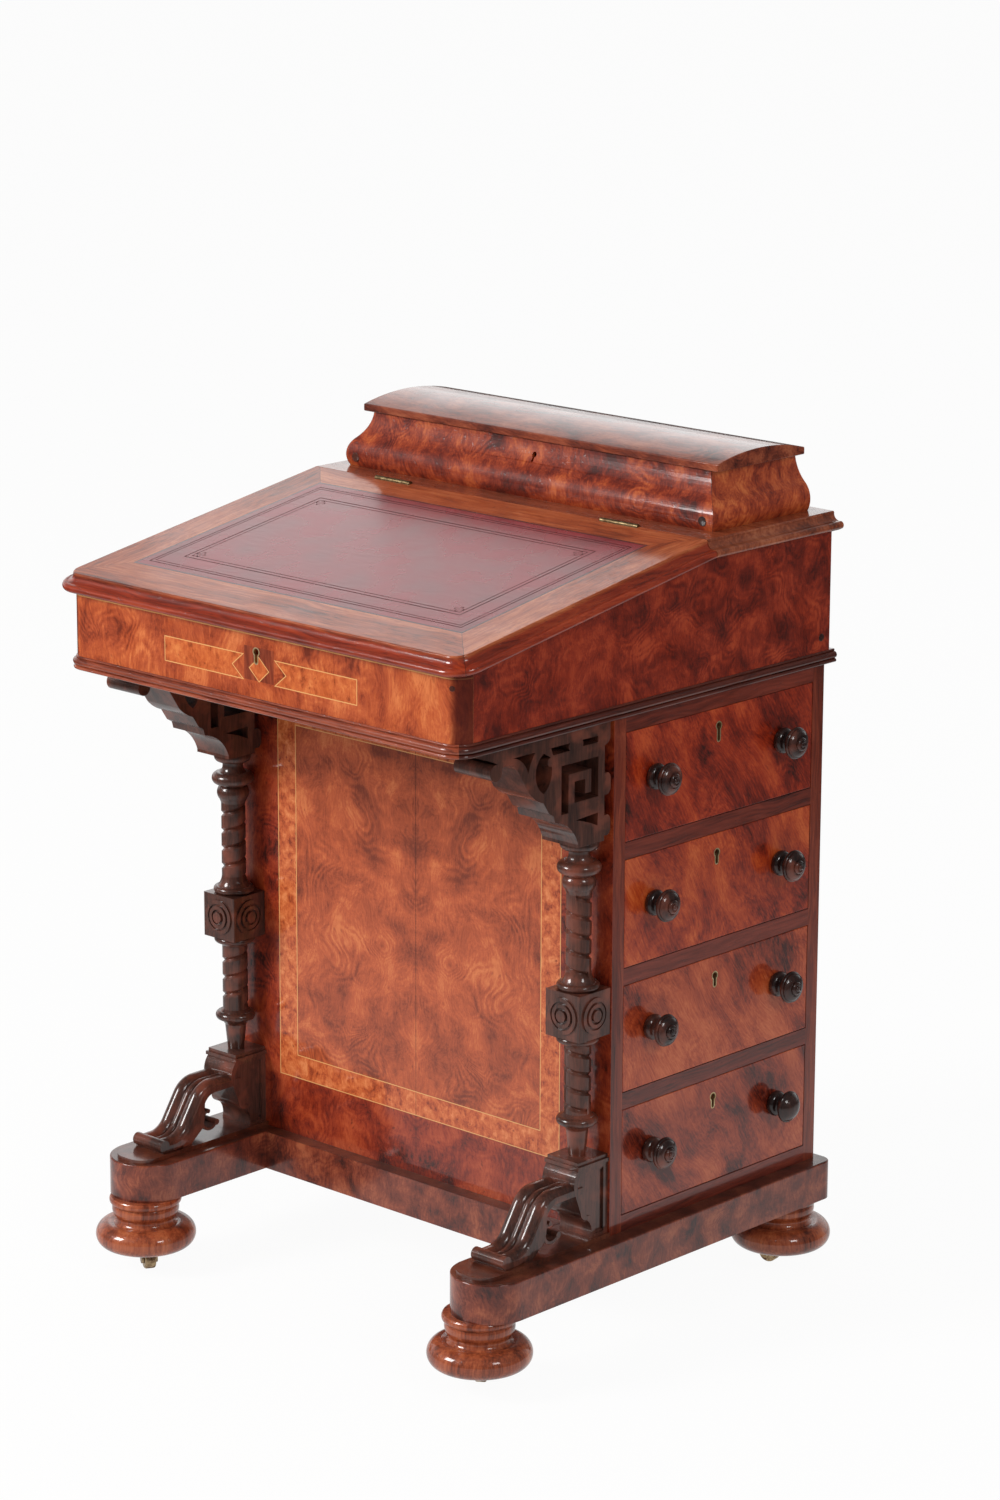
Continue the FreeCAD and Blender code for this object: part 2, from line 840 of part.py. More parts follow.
def knob_places(number):
    """Centres of the two knobs of a drawer, as (y, z)."""
    height = drawer_floor(number) + s.drawer_height / 2 + s.knob_rise
    return [(handle_y + step * s.knob_spacing / 2, height) for step in (-1, 1)]


REPLACED_KNOB = (4, 1)             # drawer and end whose knob is a later, plainly domed one
dummy_fronts = []
dummy_knobs = []
fixed_escutcheons = []
for number in range(1, 5):
    low, high = drawer_front_span(number)
    eye = keyhole_height(number)
    pieces.append(drawer_front(number))
    pieces.append(drawer_tray(number))
    pair = [
        knob(f"knob_{number}_{end}", 1, y, z, plain=(number, end) == REPLACED_KNOB)
        for end, (y, z) in enumerate(knob_places(number))
    ]
    pieces.append(together(f"drawer_{number}_knobs", pair))
    rim_inside = s.pedestal_half_width - s.escutcheon_depth
    tall = drawer_keyhole(number)
    pieces.append(escutcheon(f"drawer_{number}_escutcheon", "YZ", rim_inside, handle_y, eye, tall))

    dummy = new_body(f"dummy_front_{number}")
    face = rectangle(inside_front + s.reveal, inside_back - s.reveal, low, high)
    pad(dummy, "YZ", [face], s.dummy_thickness, -s.pedestal_half_width)
    rim = keyhole(handle_y, eye, s.keyhole_half_height)
    pocket(dummy, "YZ", [rim], s.dummy_thickness, -s.pedestal_half_width, reversed_cut=True)
    dummy_fronts.append(dummy)
    outside = -s.pedestal_half_width
    fixed_escutcheons.append(escutcheon(
        f"dummy_escutcheon_{number}", "YZ", outside, handle_y, eye, s.keyhole_half_height))
    for end, (y, z) in enumerate(knob_places(number)):
        dummy_knobs.append(knob(f"dummy_knob_{number}_{end}", -1, y, z))


# ---------------------------------------------------------------- scroll feet
def scroll_foot(name, side):
    """Panelled block under the column, from which a reeded leaf rolls down to the toe."""
    body = new_body(f"scroll_foot_{name}")
    half = s.scroll_half_width
    back = s.pedestal_front
    foot = sole_top
    shoulder = cap_top - 2 * s.cap_step
    line = side * column_line
    flank = [
        (back, foot),
        (back - 22, foot),
        Through(back - 22.5, foot + 12),
        (back - 28, foot + 19),
        Through(back - 34, foot + 21.5),
        (back - 36.5, foot + 27),
        (back - 45, foot + 49),
        Through(back - 46, foot + 57.5),
        (back - 40, shoulder),
        (back, shoulder),
    ]
    pad(body, "YZ", [flank], 2 * half, line, centred=True)
    for level, spread in ((shoulder, 1.5), (shoulder + s.cap_step, -0.5)):
        cap = rectangle(line - half - spread, line + half + spread, back - 40.5 - spread, back)
        pad(body, "XY", [cap], s.cap_step, level)
    sunk = [
        (back - 6, foot + 3),
        (back - 18, foot + 3),
        Through(back - 18.5, foot + 14),
        (back - 24.5, foot + 22.5),
        Through(back - 30.5, foot + 25),
        (back - 32.5, foot + 29),
        (back - 40.5, foot + 50),
        Through(back - 41, foot + 56.5),
        (back - 36.5, shoulder - 4),
        (back - 6, shoulder - 4),
    ]
    channel = [
        (back - 6, foot + 5),
        (back - 9.5, foot + 5),
        (back - 9.5, shoulder - 6),
        (back - 6, shoulder - 6),
    ]
    for face in (-1, 1):
        pocket(body, "YZ", [sunk], 1.2, line + face * half, reversed_cut=(face < 0))
        pocket(body, "YZ", [channel], 3, line + face * half, reversed_cut=(face < 0))

    leaf_level = foot + 52
    bend_high = 22
    bend_low = 26
    fall = math.radians(57)
    toe_level = foot + 6.5
    toe_front = sole_front + s.toe_setback
    low_y = toe_front + 14
    low_z = toe_level + bend_low
    land_y = low_y + bend_low * math.sin(fall)
    land_z = low_z - bend_low * math.cos(fall)
    turn_z = leaf_level - bend_high * (1 - math.cos(fall))
    turn_y = land_y + (turn_z - land_z) / math.tan(fall)
    high_y = turn_y + bend_high * math.sin(fall)
    spine = [
        (back - 34, leaf_level),
        (high_y, leaf_level),
        Through(high_y - bend_high * math.sin(fall / 2), leaf_level - bend_high * (1 - math.cos(fall / 2))),
        (turn_y, turn_z),
        (land_y, land_z),
        Through(low_y + bend_low * math.sin(fall / 2), toe_level + bend_low * (1 - math.cos(fall / 2))),
        (low_y, toe_level),
        (toe_front, toe_level),
    ]
    lobe = half * 0.6
    leaf = [
        (line - half, leaf_level - 6),
        (line - half, leaf_level),
        (line - half + 1.2, leaf_level + 1.2),
        Through(line - lobe, leaf_level + 6.2),
        (line - 4.6, leaf_level + 1.4),
        (line - 3.2, leaf_level + 1.4),
        Through(line, leaf_level + 3.8),
        (line + 3.2, leaf_level + 1.4),
        (line + 4.6, leaf_level + 1.4),
        Through(line + lobe, leaf_level + 6.2),
        (line + half - 1.2, leaf_level + 1.2),
        (line + half, leaf_level),
        (line + half, leaf_level - 6),
    ]
    moulding(body, leaf, "XZ", 34 - back, spine, "YZ", line, 5)
    toe = Circle(toe_front + 2, toe_level + 0.5, 6)
    pad(body, "YZ", [toe], 2 * half, line, centred=True)
    web = [
        (high_y - 12, foot + 47),
        (high_y - 17, foot + 43),
        (high_y - 29, foot + 22),
        (high_y - 42, foot + 7),
        (high_y - 42, foot),
        (high_y - 31, foot),
        (high_y - 16, foot + 12),
        (high_y - 13, foot + 20),
        (high_y - 12, foot + 38),
    ]
    pad(body, "YZ", [web], 2 * half - 4, line, centred=True)
    eye_y = high_y - 6
    eye_z = foot + 19
    outer = 11
    inner = 8.2

    def on_curl(radius, degrees):
        angle = math.radians(degrees)
        return eye_y + radius * math.cos(angle), eye_z + radius * math.sin(angle)

    curl = [
        on_curl(outer, 105),
        Through(*on_curl(outer, 215)),
        on_curl(outer, 325),
        on_curl(inner, 325),
        Through(*on_curl(inner, 215)),
        on_curl(inner, 105),
    ]
    pad(body, "YZ", [curl], 2 * half - 4, line, centred=True)
    for degrees, ball in ((333, 3), (105, 2.2)):
        centre = on_curl((outer + inner) / 2, degrees)
        pad(body, "YZ", [Circle(*centre, ball)], 2 * half - 2, line, centred=True)
    return body


for name, side in SIDES:
    pieces.append(scroll_foot(name, side))


# ---------------------------------------------------------------- columns
def spiral_groove(body, radius, low, high, left_handed):
    """A vee groove wound round a shaft between two levels."""
    half = s.spiral_half_width
    deep = radius - s.spiral_depth
    proud = radius + 1
    vee = [
        (deep, low),
        (proud, low - half * (proud - deep) / s.spiral_depth),
        (proud, low + half * (proud - deep) / s.spiral_depth),
    ]
    sketch = new_sketch(body, "XZ", [vee])
    feature = body.newObject("PartDesign::SubtractiveHelix", body.Label + "_spiral")
    feature.Profile = sketch
    feature.ReferenceAxis = (sketch, ["V_Axis"])
    feature.Mode = "pitch-height-angle"
    feature.LeftHanded = left_handed
    bind(feature, "Pitch", s.spiral_pitch)
    bind(feature, "Height", high - low)
    return feature


def roundel(body, plane, sign):
    """Turned target on one face of the cube: two raised rings round a centre button."""
    half = s.cube_half
    middle = s.cube_base + s.cube_height / 2
    outer_ring = (half * 0.64, half * 0.82, 1.6)
    inner_ring = (half * 0.38, half * 0.54, 2.2)
    button = (None, half * 0.26, 3)
    for inner, outer, height in (outer_ring, inner_ring, button):
        loops = [Circle(0, middle, outer)]
        if inner is not None:
            loops.append(Circle(0, middle, inner))
        if sign > 0:
            pad(body, plane, loops, height, half)
        else:
            feature = pad(body, plane, loops, height, -half)
            feature.Reversed = True


def column(name, side):
    """Turned column: ringed capital, spiral shafts above and below a cube, and a tapered foot."""
    body = new_body(f"column_{name}")
    core = s.shaft_radius
    stout = s.lower_shaft_radius
    ring = ring_radius
    neck = s.neck_radius
    cube_top = s.cube_base + s.cube_height
    upper = [
        (0, bracket_base),
        (ring - 4, bracket_base),
        Through(ring - 1.8, bracket_base - 4.5),
        (ring - 4, bracket_base - 9),
        (neck + 1, bracket_base - 9.5),
        Through(neck, bracket_base - 15),
        (neck + 3, bracket_base - 20.5),
        Through(ring + 0.5, bracket_base - 27),
        (ring - 5, bracket_base - 32.5),
        (ring - 7, bracket_base - 34),
        Through(ring - 4.5, bracket_base - 39),
        (ring - 6.5, bracket_base - 47),
        (core, bracket_base - 51),
        (core, cube_top + 17),
        Through(core + 1, cube_top + 12),
        (ring - 4, cube_top + 6.5),
        Through(ring, cube_top + 3.3),
        (ring - 3, cube_top),
        (0, cube_top),
    ]
    cap = cap_top
    base = s.cube_base
    lower = [
        (0, base),
        (ring - 3, base),
        Through(ring, base - 3.3),
        (ring - 4, base - 6.5),
        (stout, base - 10),
        (stout, cap + 41),
        (ring - 5, cap + 38.5),
        Through(ring - 0.5, cap + 34.5),
        (ring - 5.5, cap + 30),
        (neck + 0.5, cap + 25),
        (neck - 2, cap),
        (0, cap),
    ]
    turn(body, upper)
    turn(body, lower)
    half = s.cube_half
    pad(body, "XY", [rectangle(-half, half, -half, half)], s.cube_height, base)
    tall = s.cube_height.value
    middle = (base + s.cube_height / 2).value
    round_edges(
        body,
        s.cube_arris,
        lambda edge: abs(edge.BoundBox.ZLength - tall) < 0.01
        and abs(edge.BoundBox.ZMin + tall / 2 - middle) < 0.01,
    )
    spiral_groove(body, core, cube_top + 15, bracket_base - 53, side > 0)
    spiral_groove(body, stout, cap + 44, base - 12, side > 0)
    roundel(body, "XZ", 1)
    roundel(body, "YZ", 1)
    roundel(body, "YZ", -1)
    move(body, side * column_line, column_depth)
    return body


for name, side in SIDES:
    pieces.append(column(name, side))


# ---------------------------------------------------------------- fretted brackets
def bracket(name, side):
    """Fretted bracket: rolled front scroll, pierced loop and slots, and a square-spiral key."""
    body = new_body(f"bracket_{name}")
    half = s.bracket_half_width
    line = side * column_line
    along = s.bracket_reach / 158
    down = s.bracket_height / 111

    def at(forward, drop):
        """A point of the fret as drawn for a bracket 158 long and 111 high."""
        return s.pedestal_front - forward * along, pedestal_top - drop * down

    def arc(forward, drop):
        return Through(*at(forward, drop))

    outline = [
        at(12.5, 13),
        at(5.2, 13),
        at(5.2, 0),
        at(158, 0),
        at(158, 11),
        at(151, 15),
        at(148, 18.6),
        arc(138, 17.4),
        at(127.5, 23.5),
        arc(119.5, 36),
        at(111, 49),
        arc(103.5, 55.5),
        at(93.5, 60.4),
        at(86, 71.5),
        at(80, 75),
        at(78, 81.5),
        arc(58.5, 90.5),
        at(47, 108),
        at(47, 111),
        at(12.5, 111),
    ]
    pad(body, "YZ", [outline], 2 * half, line, centred=True)
    for forward, drop, radius in ((154.8, 21.3, 7.6), (13, 14.3, 8)):
        roll = Circle(*at(forward, drop), radius * down)
        pad(body, "YZ", [roll], 2 * half, line, centred=True)
    for high, low in ((49, 69), (88, 107)):
        lug = [
            at(13, high),
            at(6, high),
            arc(3.2, high + 3),
            at(2.5, high + 6),
            at(2.5, low - 6),
            arc(3.2, low - 3),
            at(6, low),
            at(13, low),
        ]
        pad(body, "YZ", [lug], 2 * half - 3, line, centred=True)

    band = [
        at(133.5, 12),
        arc(121.5, 17.5),
        at(113.5, 30),
        arc(110, 20.5),
        at(104.5, 12),
    ]
    loop = [
        at(93.5, 15),
        arc(103.8, 34),
        at(93, 52),
        arc(83.8, 40),
        at(83, 28.5),
        arc(88.4, 25),
        at(84, 20.6),
    ]
    slot_near = [at(84, 12), at(56, 12), at(56, 19), at(81, 19)]
    slot_far = [at(45.5, 12), at(21.5, 12), at(21.5, 18), at(45.5, 18)]
    key_front = 70
    key_back = 21
    key_top = 31
    key_low = 76
    bar = 8
    gap = 9.5
    key = [
        at(key_front, key_top),
        at(key_back, key_top),
        at(key_back, key_low - bar),
        at(key_front - gap - bar, key_low - bar),
        at(key_front - gap - bar, key_top + gap + bar),
        at(key_back + gap + bar, key_top + gap + bar),
        at(key_back + gap + bar, key_low - bar - 6),
        at(key_back + gap, key_low - bar - 6),
        at(key_back + gap, key_top + gap),
        at(key_front - gap, key_top + gap),
        at(key_front - gap, key_low),
        at(key_front, key_low),
    ]
    heel = [
        at(51, 84.5),
        at(key_back, 83),
        at(key_back + 0.5, 95),
        arc(33, 90),
    ]
    for hole in (band, loop, slot_near, slot_far, key, heel):
        pocket(body, "YZ", [hole], 2 * half + 2, line, centred=True)
    for forward, drop, radius in ((56.3, 15.5, 4.3), (46.5, 15.3, 5)):
        bulb = Circle(*at(forward, drop), radius * down)
        pad(body, "YZ", [bulb], 2 * half, line, centred=True)
    return body


for name, side in SIDES:
    pieces.append(bracket(name, side))


# ---------------------------------------------------------------- slope box
def underside(y):
    """Height of the box's rim under the writing lid at a given depth."""
    drop = (s.lid_thickness + s.lid_gap) * slope_length / s.slope_run
    return top_level - drop - (hinge_line - y) * s.slope_rise / s.slope_run


def round_fronted(half, front, corner, back):
    """Plan of a board with two rounded front corners."""
    bend = 1 - math.sqrt(0.5)
    return [
        (-half, back),
        (-half, front + corner),
        Through(-half + corner * bend, front + corner * bend),
        (-half + corner, front),
        (half - corner, front),
        Through(half - corner * bend, front + corner * bend),
        (half, front + corner),
        (half, back),
    ]


def box_bottom():
    """Bottom board of the slope box, moulded with a bead between two fillets on three sides."""
    body = new_body("box_bottom")
    rear = box_back + s.moulding_rear_lip
    plan = round_fronted(box_half, box_front, s.box_corner, rear)
    pad(body, "XY", [plan], s.moulding_height, pedestal_top)
    out = s.moulding_projection
    low = pedestal_top
    top = box_base
    section = [
        (-box_half + 1, low),
        (-box_half + 1, top),
        (-box_half - 0.6, top),
        Through(-box_half - 1.4, top - 1.5),
        (-box_half - 0.8, top - 2.4),
        Through(-box_half - out, top - 5.6),
        (-box_half - out + 2.8, top - 8.8),
        (-box_half - out + 2, top - 9.2),
        Through(-box_half - out + 0.6, low + 1.6),
        (-box_half - out + 1.8, low),
    ]
    path = round_fronted(box_half, box_front, s.box_corner, rear)
    moulding(body, section, "XZ", -rear, path, "XY", low, 5)
    return body


def box_side(name, side):
    """Side of the slope box, cut to the slope in front and level under the fixed board."""
    body = new_body(f"box_side_{name}")
    inner_front = box_front + s.box_wall
    outline = [
        (inner_front, box_base),
        (box_back, box_base),
        (box_back, board_underside),
        (hinge_line + s.hinge_gap, board_underside),
        (hinge_line, underside(hinge_line)),
        (inner_front, underside(inner_front)),
    ]
    start = box_half - s.box_wall if side > 0 else -box_half
    pad(body, "YZ", [outline], s.box_wall, start)
    return body


def box_front_board():
    """Front of the slope box, rounded at both outer corners and bored for its lock."""
    body = new_body("box_front")
    inner = box_front + s.box_wall
    outline = [
        (box_front, box_base),
        (inner, box_base),
        (inner, underside(inner)),
        (box_front, underside(box_front)),
    ]
    pad(body, "YZ", [outline], 2 * box_half, centred=True)
    face = box_front.value
    round_edges(
        body,
        s.box_corner,
        lambda edge: edge.BoundBox.XLength < 0.01 and edge.BoundBox.YMax < face + 0.01,
    )
    rim = keyhole(0, box_lock_height, s.keyhole_half_height)
    pocket(body, "XZ", [rim], s.escutcheon_depth, -box_front)
    hole = keyhole(0, box_lock_height, s.keyhole_half_height, s.keyhole_rim)
    pocket(body, "XZ", [hole], s.box_wall, -box_front)
    return body


box_lock_height = box_base + 39
pieces.append(box_bottom())
pieces.append(box_front_board())
for name, side in SIDES:
    pieces.append(box_side(name, side))
pieces.append(block(
    "box_back",
    (s.box_wall - box_half, box_half - s.box_wall),
    (box_back - s.box_wall, box_back),
    (box_base, board_underside),
))
fixed_escutcheons.append(escutcheon(
    "slope_escutcheon", "XZ", -box_front - s.escutcheon_depth, 0, box_lock_height, s.keyhole_half_height))


# ---------------------------------------------------------------- hinges
leaf_seat = s.hinge_gap + s.leaf_thickness
knuckle_room = s.knuckle_radius + 0.8
leaf_start = s.knuckle_radius + 0.4
hinge_reach = s.hinge_length / 2 + 0.3


def hinge_half(label, moving, centre, leaf_depth):
    """Half of a butt hinge on the X axis with its leaf hanging down; the fixed half has the pin."""
    half = s.hinge_length / 2
    third = s.hinge_length / 6
    near, far = (-leaf_seat, -s.hinge_gap) if moving else (s.hinge_gap, leaf_seat)
    end = -leaf_start - leaf_depth
    members = [block(f"{label}_leaf", (centre - half, centre + half), (near, far), (end, -leaf_start))]
    if moving:
        spans = [(centre - third + 0.3, centre + third - 0.3)]
    else:
        spans = [(centre - half, centre - third), (centre + third, centre + half)]
    for number, (low, high) in enumerate(spans):
        members.append(rod(f"{label}_knuckle_{number}", s.knuckle_radius, low, high, (0, 0), along="x"))
        neck = (-leaf_start - 1, -s.pin_radius - 0.6)
        members.append(block(f"{label}_neck_{number}", (low, high), (near, far), neck))
    if moving:
        hole = s.pin_radius + s.pin_clearance
        bore = rod(f"{label}_bore", hole, centre - half, centre + half, (0, 0), along="x")
        return less(label, joined(f"{label}_whole", members), bore)
    members.append(rod(f"{label}_pin", s.pin_radius, centre - half, centre + half, (0, 0), along="x"))
    return joined(label, members)


def hinge_pair(label, moving, line, leaf_depth):
    """The same half of a left and a right hinge."""
    halves = [
        hinge_half(f"{label}_{name}", moving, side * line, leaf_depth)
        for name, side in SIDES
    ]
    return together(label, halves)


# ---------------------------------------------------------------- writing lid and fixed board
def lid_moulding(edge, top):
    """Section of the moulded edge: a small roll, a hollow and a half-round nose, outwards from an edge."""
    out = s.lid_projection
    low = top - s.lid_thickness
    lip = low + s.lid_undercut
    nose = lip + s.lid_nose
    return [
        (edge + 1, low),
        (edge + 1, top),
        (edge, top),
        Through(edge - 0.9, top - 0.6),
        (edge - 1.2, top - 2.4),
        Through(edge - 3.1, nose + 1.9),
        (edge - out + 6, nose),
        (edge - out + 3.8, nose),
        Through(edge - out, (nose + lip) / 2 + 0.2),
        (edge - out + 2.6, lip),
        Through(edge - out / 2 + 1.3, (low + lip) / 2 - 0.5),
        (edge, low),
    ]


def on_slope(y, z):
    """A point given level from the hinge line, in the plane of the sloping lid."""
    across = (length(y) * s.slope_run + length(z) * s.slope_rise) / slope_length
    up = (length(z) * s.slope_run - length(y) * s.slope_rise) / slope_length
    return across, up


def slope_frame(item):
    """Tilt an item, drawn flat with its hinge line on the X axis, on to the slope of the box."""
    item.Placement.Rotation = FreeCAD.Rotation(Vector(1, 0, 0), 1)
    bind(item, "Placement.Rotation.Angle", Length(0, f"atan({(s.slope_rise / s.slope_run).formula})"))
    move(item, 0, hinge_line, top_level)


def hinge_housing(direction, leaf_depth):
    """Section of the housing cut for a leaf and its knuckle, level from the hinge line."""
    depth = -leaf_start - leaf_depth - 0.3
    return [
        (0, 2),
        (direction * knuckle_room, 2),
        (direction * knuckle_room, -knuckle_room),
        (direction * leaf_seat, -knuckle_room),
        (direction * leaf_seat, depth),
        (0, depth),
    ]


def leather_plan():
    return rectangle(
        -leather_half,
        leather_half,
        s.leather_front_margin - slope_length,
        -s.leather_rear_margin,
    )


def writing_lid_board():
    """Lid board with a moulded edge on three sides and the sinking for its leather."""
    body = new_body("lid_board")
    field = round_fronted(box_half, -slope_length, s.lid_corner, 0)
    pad(body, "XY", [field], s.lid_thickness, -s.lid_thickness)
    path = round_fronted(box_half, -slope_length, s.lid_corner, 0)
    moulding(body, lid_moulding(-box_half, 0), "XZ", 0, path, "XY", 0, 5)
    pocket(body, "XY", [leather_plan()], s.leather_thickness, 0)
    below = -s.lid_thickness - 5
    bevel = [(-s.hinge_gap, 2), (-s.hinge_gap, below), (10, below), (10, 2)]
    bevel = [on_slope(y, z) for y, z in bevel]
    pocket(body, "YZ", [bevel], 3 * box_half, centred=True)
    housing = [on_slope(y, z) for y, z in hinge_housing(-1, s.leaf_depth)]
    for _, side in SIDES:
        pocket(body, "YZ", [housing], 2 * hinge_reach, side * s.slope_hinge_line, centred=True)
    slope_frame(body)
    return body


def lid_leather():
    """Writing surface let in flush with the board."""
    body = new_body("lid_leather")
    pad(body, "XY", [leather_plan()], s.leather_thickness, -s.leather_thickness)
    slope_frame(body)
    return body


def top_board():
    """Fixed board behind the lid, its side edges worked like the lid's."""
    body = new_body("top_board")
    front = hinge_line + s.hinge_gap
    rear = box_back + s.board_rear_lip
    field = rectangle(-box_half, box_half, front, rear)
    pad(body, "XY", [field], s.lid_thickness, board_underside)
    left = lid_moulding(-box_half, top_level)
    right = [
        Through(-item.across, item.up) if isinstance(item, Through) else (-item[0], item[1])
        for item in left
    ]
    for section in (left, right):
        pad(body, "XZ", [section], rear - front, -rear)
    housing = [
        (hinge_line + y, top_level + z)
        for y, z in hinge_housing(1, s.leaf_depth)
    ]
    for _, side in SIDES:
        pocket(body, "YZ", [housing], 2 * hinge_reach, side * s.slope_hinge_line, centred=True)
    return body


pieces.append(writing_lid_board())
pieces.append(lid_leather())
pieces.append(top_board())
for state in ("moving", "fixed"):
    pair = hinge_pair(f"slope_hinges_{state}", state == "moving", s.slope_hinge_line, s.leaf_depth)
    move(pair, 0, hinge_line, top_level)
    pieces.append(pair)


# ---------------------------------------------------------------- stationery box
pen_axis = pen_back + leaf_start
pen_joint_low = pen_rim - s.hinge_gap
pen_joint_high = pen_rim + s.hinge_gap
pen_cavity_half = pen_half - s.pen_ogee - s.pen_wall
pen_cavity_front = pen_front + s.pen_ogee + s.pen_wall
pen_cavity_back = pen_back - s.pen_wall


def pen_rebates():
    """Plan of the two shallow rebates for hinge leaves at the back of the stationery box."""
    plans = []
    for _, side in SIDES:
        centre = side * s.pen_hinge_line
        inner_end = pen_back - s.pen_leaf_depth - 0.3
        plans.append(rectangle(centre - hinge_reach, centre + hinge_reach, inner_end, pen_back + 1))
    return plans


def ogee(start, inward):
    """Swelling foot and hollow shoulder of the box's moulded wall, foot to rim."""
    high = pen_joint_low - top_level
    return [
        (start + inward * 1, top_level),
        Through(start - inward * 2, top_level + high * 0.2),
        (start + inward * 5, top_level + high * 0.52),
        Through(start + inward * 13.2, top_level + high * 0.73),
        (start + inward * s.pen_ogee, pen_joint_low),
    ]


def pen_box_walls():
    """Mitred ogee front and sides and a plain back, round an open compartment."""
    body = new_body("pen_box_walls")
    section = ogee(pen_front, 1) + [(pen_back, pen_joint_low), (pen_back, top_level)]
    pad(body, "YZ", [section], 2 * pen_half + 8, centred=True)
    for _, side in SIDES:
        edge = side * pen_half
        waste = ogee(edge, -side) + [(edge + side * 10, pen_joint_low), (edge + side * 10, top_level)]
        pocket(body, "XZ", [waste], 3 * (pen_back - pen_front), -pen_front, centred=True)
    hollow = rectangle(-pen_cavity_half, pen_cavity_half, pen_cavity_front, pen_cavity_back)
    pocket(body, "XY", [hollow], s.pen_height + 1, pen_rim)
    slot = keyhole(0, top_level + s.pen_height * 0.71, s.keyhole_half_height * 0.6, s.keyhole_rim)
    pocket(body, "XZ", [slot], 2 * s.pen_wall, -pen_cavity_front, centred=True)
    pocket(body, "XY", pen_rebates(), s.leaf_thickness, pen_joint_low)
    return body


def pen_box_base():
    """Floor of the compartment with two dividers for pens and ink."""
    body = new_body("pen_box_base")
    floor = rectangle(-pen_cavity_half, pen_cavity_half, pen_cavity_front, pen_cavity_back)
    pad(body, "XY", [floor], s.pen_floor, top_level)
    slips = []
    for _, side in SIDES:
        low = side * s.pen_divider_line - s.pen_divider / 2
        slips.append(rectangle(low, low + s.pen_divider, pen_cavity_front, pen_cavity_back))
    pad(body, "XY", slips, s.pen_divider_height, top_level + s.pen_floor)
    return body


def pen_box_lid():
    """Domed lid with a square fascia, hinged at the back."""
    body = new_body("pen_box_lid")
    half = pen_half - s.pen_ogee + s.pen_lid_overhang
    front = pen_front + s.pen_ogee - s.pen_lid_front_overhang
    shoulder = pen_joint_high + s.pen_fascia
    section = [
        (front, pen_joint_high),
        (pen_back, pen_joint_high),
        (pen_back, shoulder),
        Through((front + pen_back) / 2, shoulder + s.pen_dome),
        (front, shoulder),
    ]
    pad(body, "YZ", [section], 2 * half, centred=True)
    rear = pen_back.value
    round_edges(body, s.pen_arris, lambda edge: edge.BoundBox.YMin < rear - 0.1)
    pocket(body, "XY", pen_rebates(), s.leaf_thickness, pen_joint_high, reversed_cut=True)
    return body


pieces.append(pen_box_walls())
pieces.append(pen_box_base())
pieces.append(pen_box_lid())
for state in ("moving", "fixed"):
    pair = hinge_pair(f"pen_hinges_{state}", state == "moving", s.pen_hinge_line, s.pen_leaf_depth)
    pair.Placement.Rotation = FreeCAD.Rotation(Vector(1, 0, 0), -90)
    move(pair, 0, pen_axis, pen_rim)
    pieces.append(pair)

# ---------------------------------------------------------------- grouped repeats
pieces.append(together("dummy_fronts", dummy_fronts))
pieces.append(together("dummy_knobs", dummy_knobs))
pieces.append(together("fixed_escutcheons", fixed_escutcheons))

# ---------------------------------------------------------------- check and export
document.recompute()
for item in document.Objects:
    if "Invalid" in item.State or "Error" in item.State:
        raise RuntimeError(f"{item.Label} failed: {item.State}")
os.makedirs("parts", exist_ok=True)
for piece in pieces:
    shape = piece.Shape
    if shape.isNull() or not shape.isValid():
        raise RuntimeError(f"{piece.Label} has no valid shape")
    shape.exportStep(f"parts/{piece.Label}.step")
print(f"{len(pieces)} sub-parts written")
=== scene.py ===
# %% [markdown]
# # A burr-walnut davenport desk
# A davenport is a small writing desk: a sloping, leather-topped box over a chest of side drawers.
# The wood, brass and leather parts come in as finished shapes. This file gives them their surfaces
# and adds the small fittings: pellets over sunk screws, the screws of the lid's hinges, the locks.
# It also bores the stationery box's keyhole right through.

# %% Load the parts
import math

import bmesh
import bpy
from mathutils import Matrix, Vector


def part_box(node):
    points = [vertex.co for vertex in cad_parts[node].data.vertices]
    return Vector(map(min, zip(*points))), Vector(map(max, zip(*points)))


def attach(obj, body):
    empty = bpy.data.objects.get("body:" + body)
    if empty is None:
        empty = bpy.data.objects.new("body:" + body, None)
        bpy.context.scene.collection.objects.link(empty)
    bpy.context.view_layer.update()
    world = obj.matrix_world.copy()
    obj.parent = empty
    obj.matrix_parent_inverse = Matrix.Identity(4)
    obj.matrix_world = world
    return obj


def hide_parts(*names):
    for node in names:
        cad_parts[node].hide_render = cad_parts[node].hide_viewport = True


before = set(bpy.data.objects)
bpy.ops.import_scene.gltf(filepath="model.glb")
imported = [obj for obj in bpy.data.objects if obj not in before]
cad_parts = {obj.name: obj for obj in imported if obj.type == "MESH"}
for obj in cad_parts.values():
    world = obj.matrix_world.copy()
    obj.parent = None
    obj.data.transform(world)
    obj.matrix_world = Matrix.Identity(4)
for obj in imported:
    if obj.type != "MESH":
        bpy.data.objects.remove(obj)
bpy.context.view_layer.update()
print("parts loaded:", len(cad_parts))

# %% [markdown]
# ## The camera
# A long lens at eye height, well to the right of the front and tilted down. The focal length is
# known in pixels of a picture 1500 high, so the sensor is measured by its height.

# %% Camera
PICTURE_HIGH = 1500
FOCAL_PIXELS = 4504.58
EYE = Vector((2.8262, -2.9816, 1.5879))
YAW, PITCH, ROLL = 42.90, -14.60, 0.22

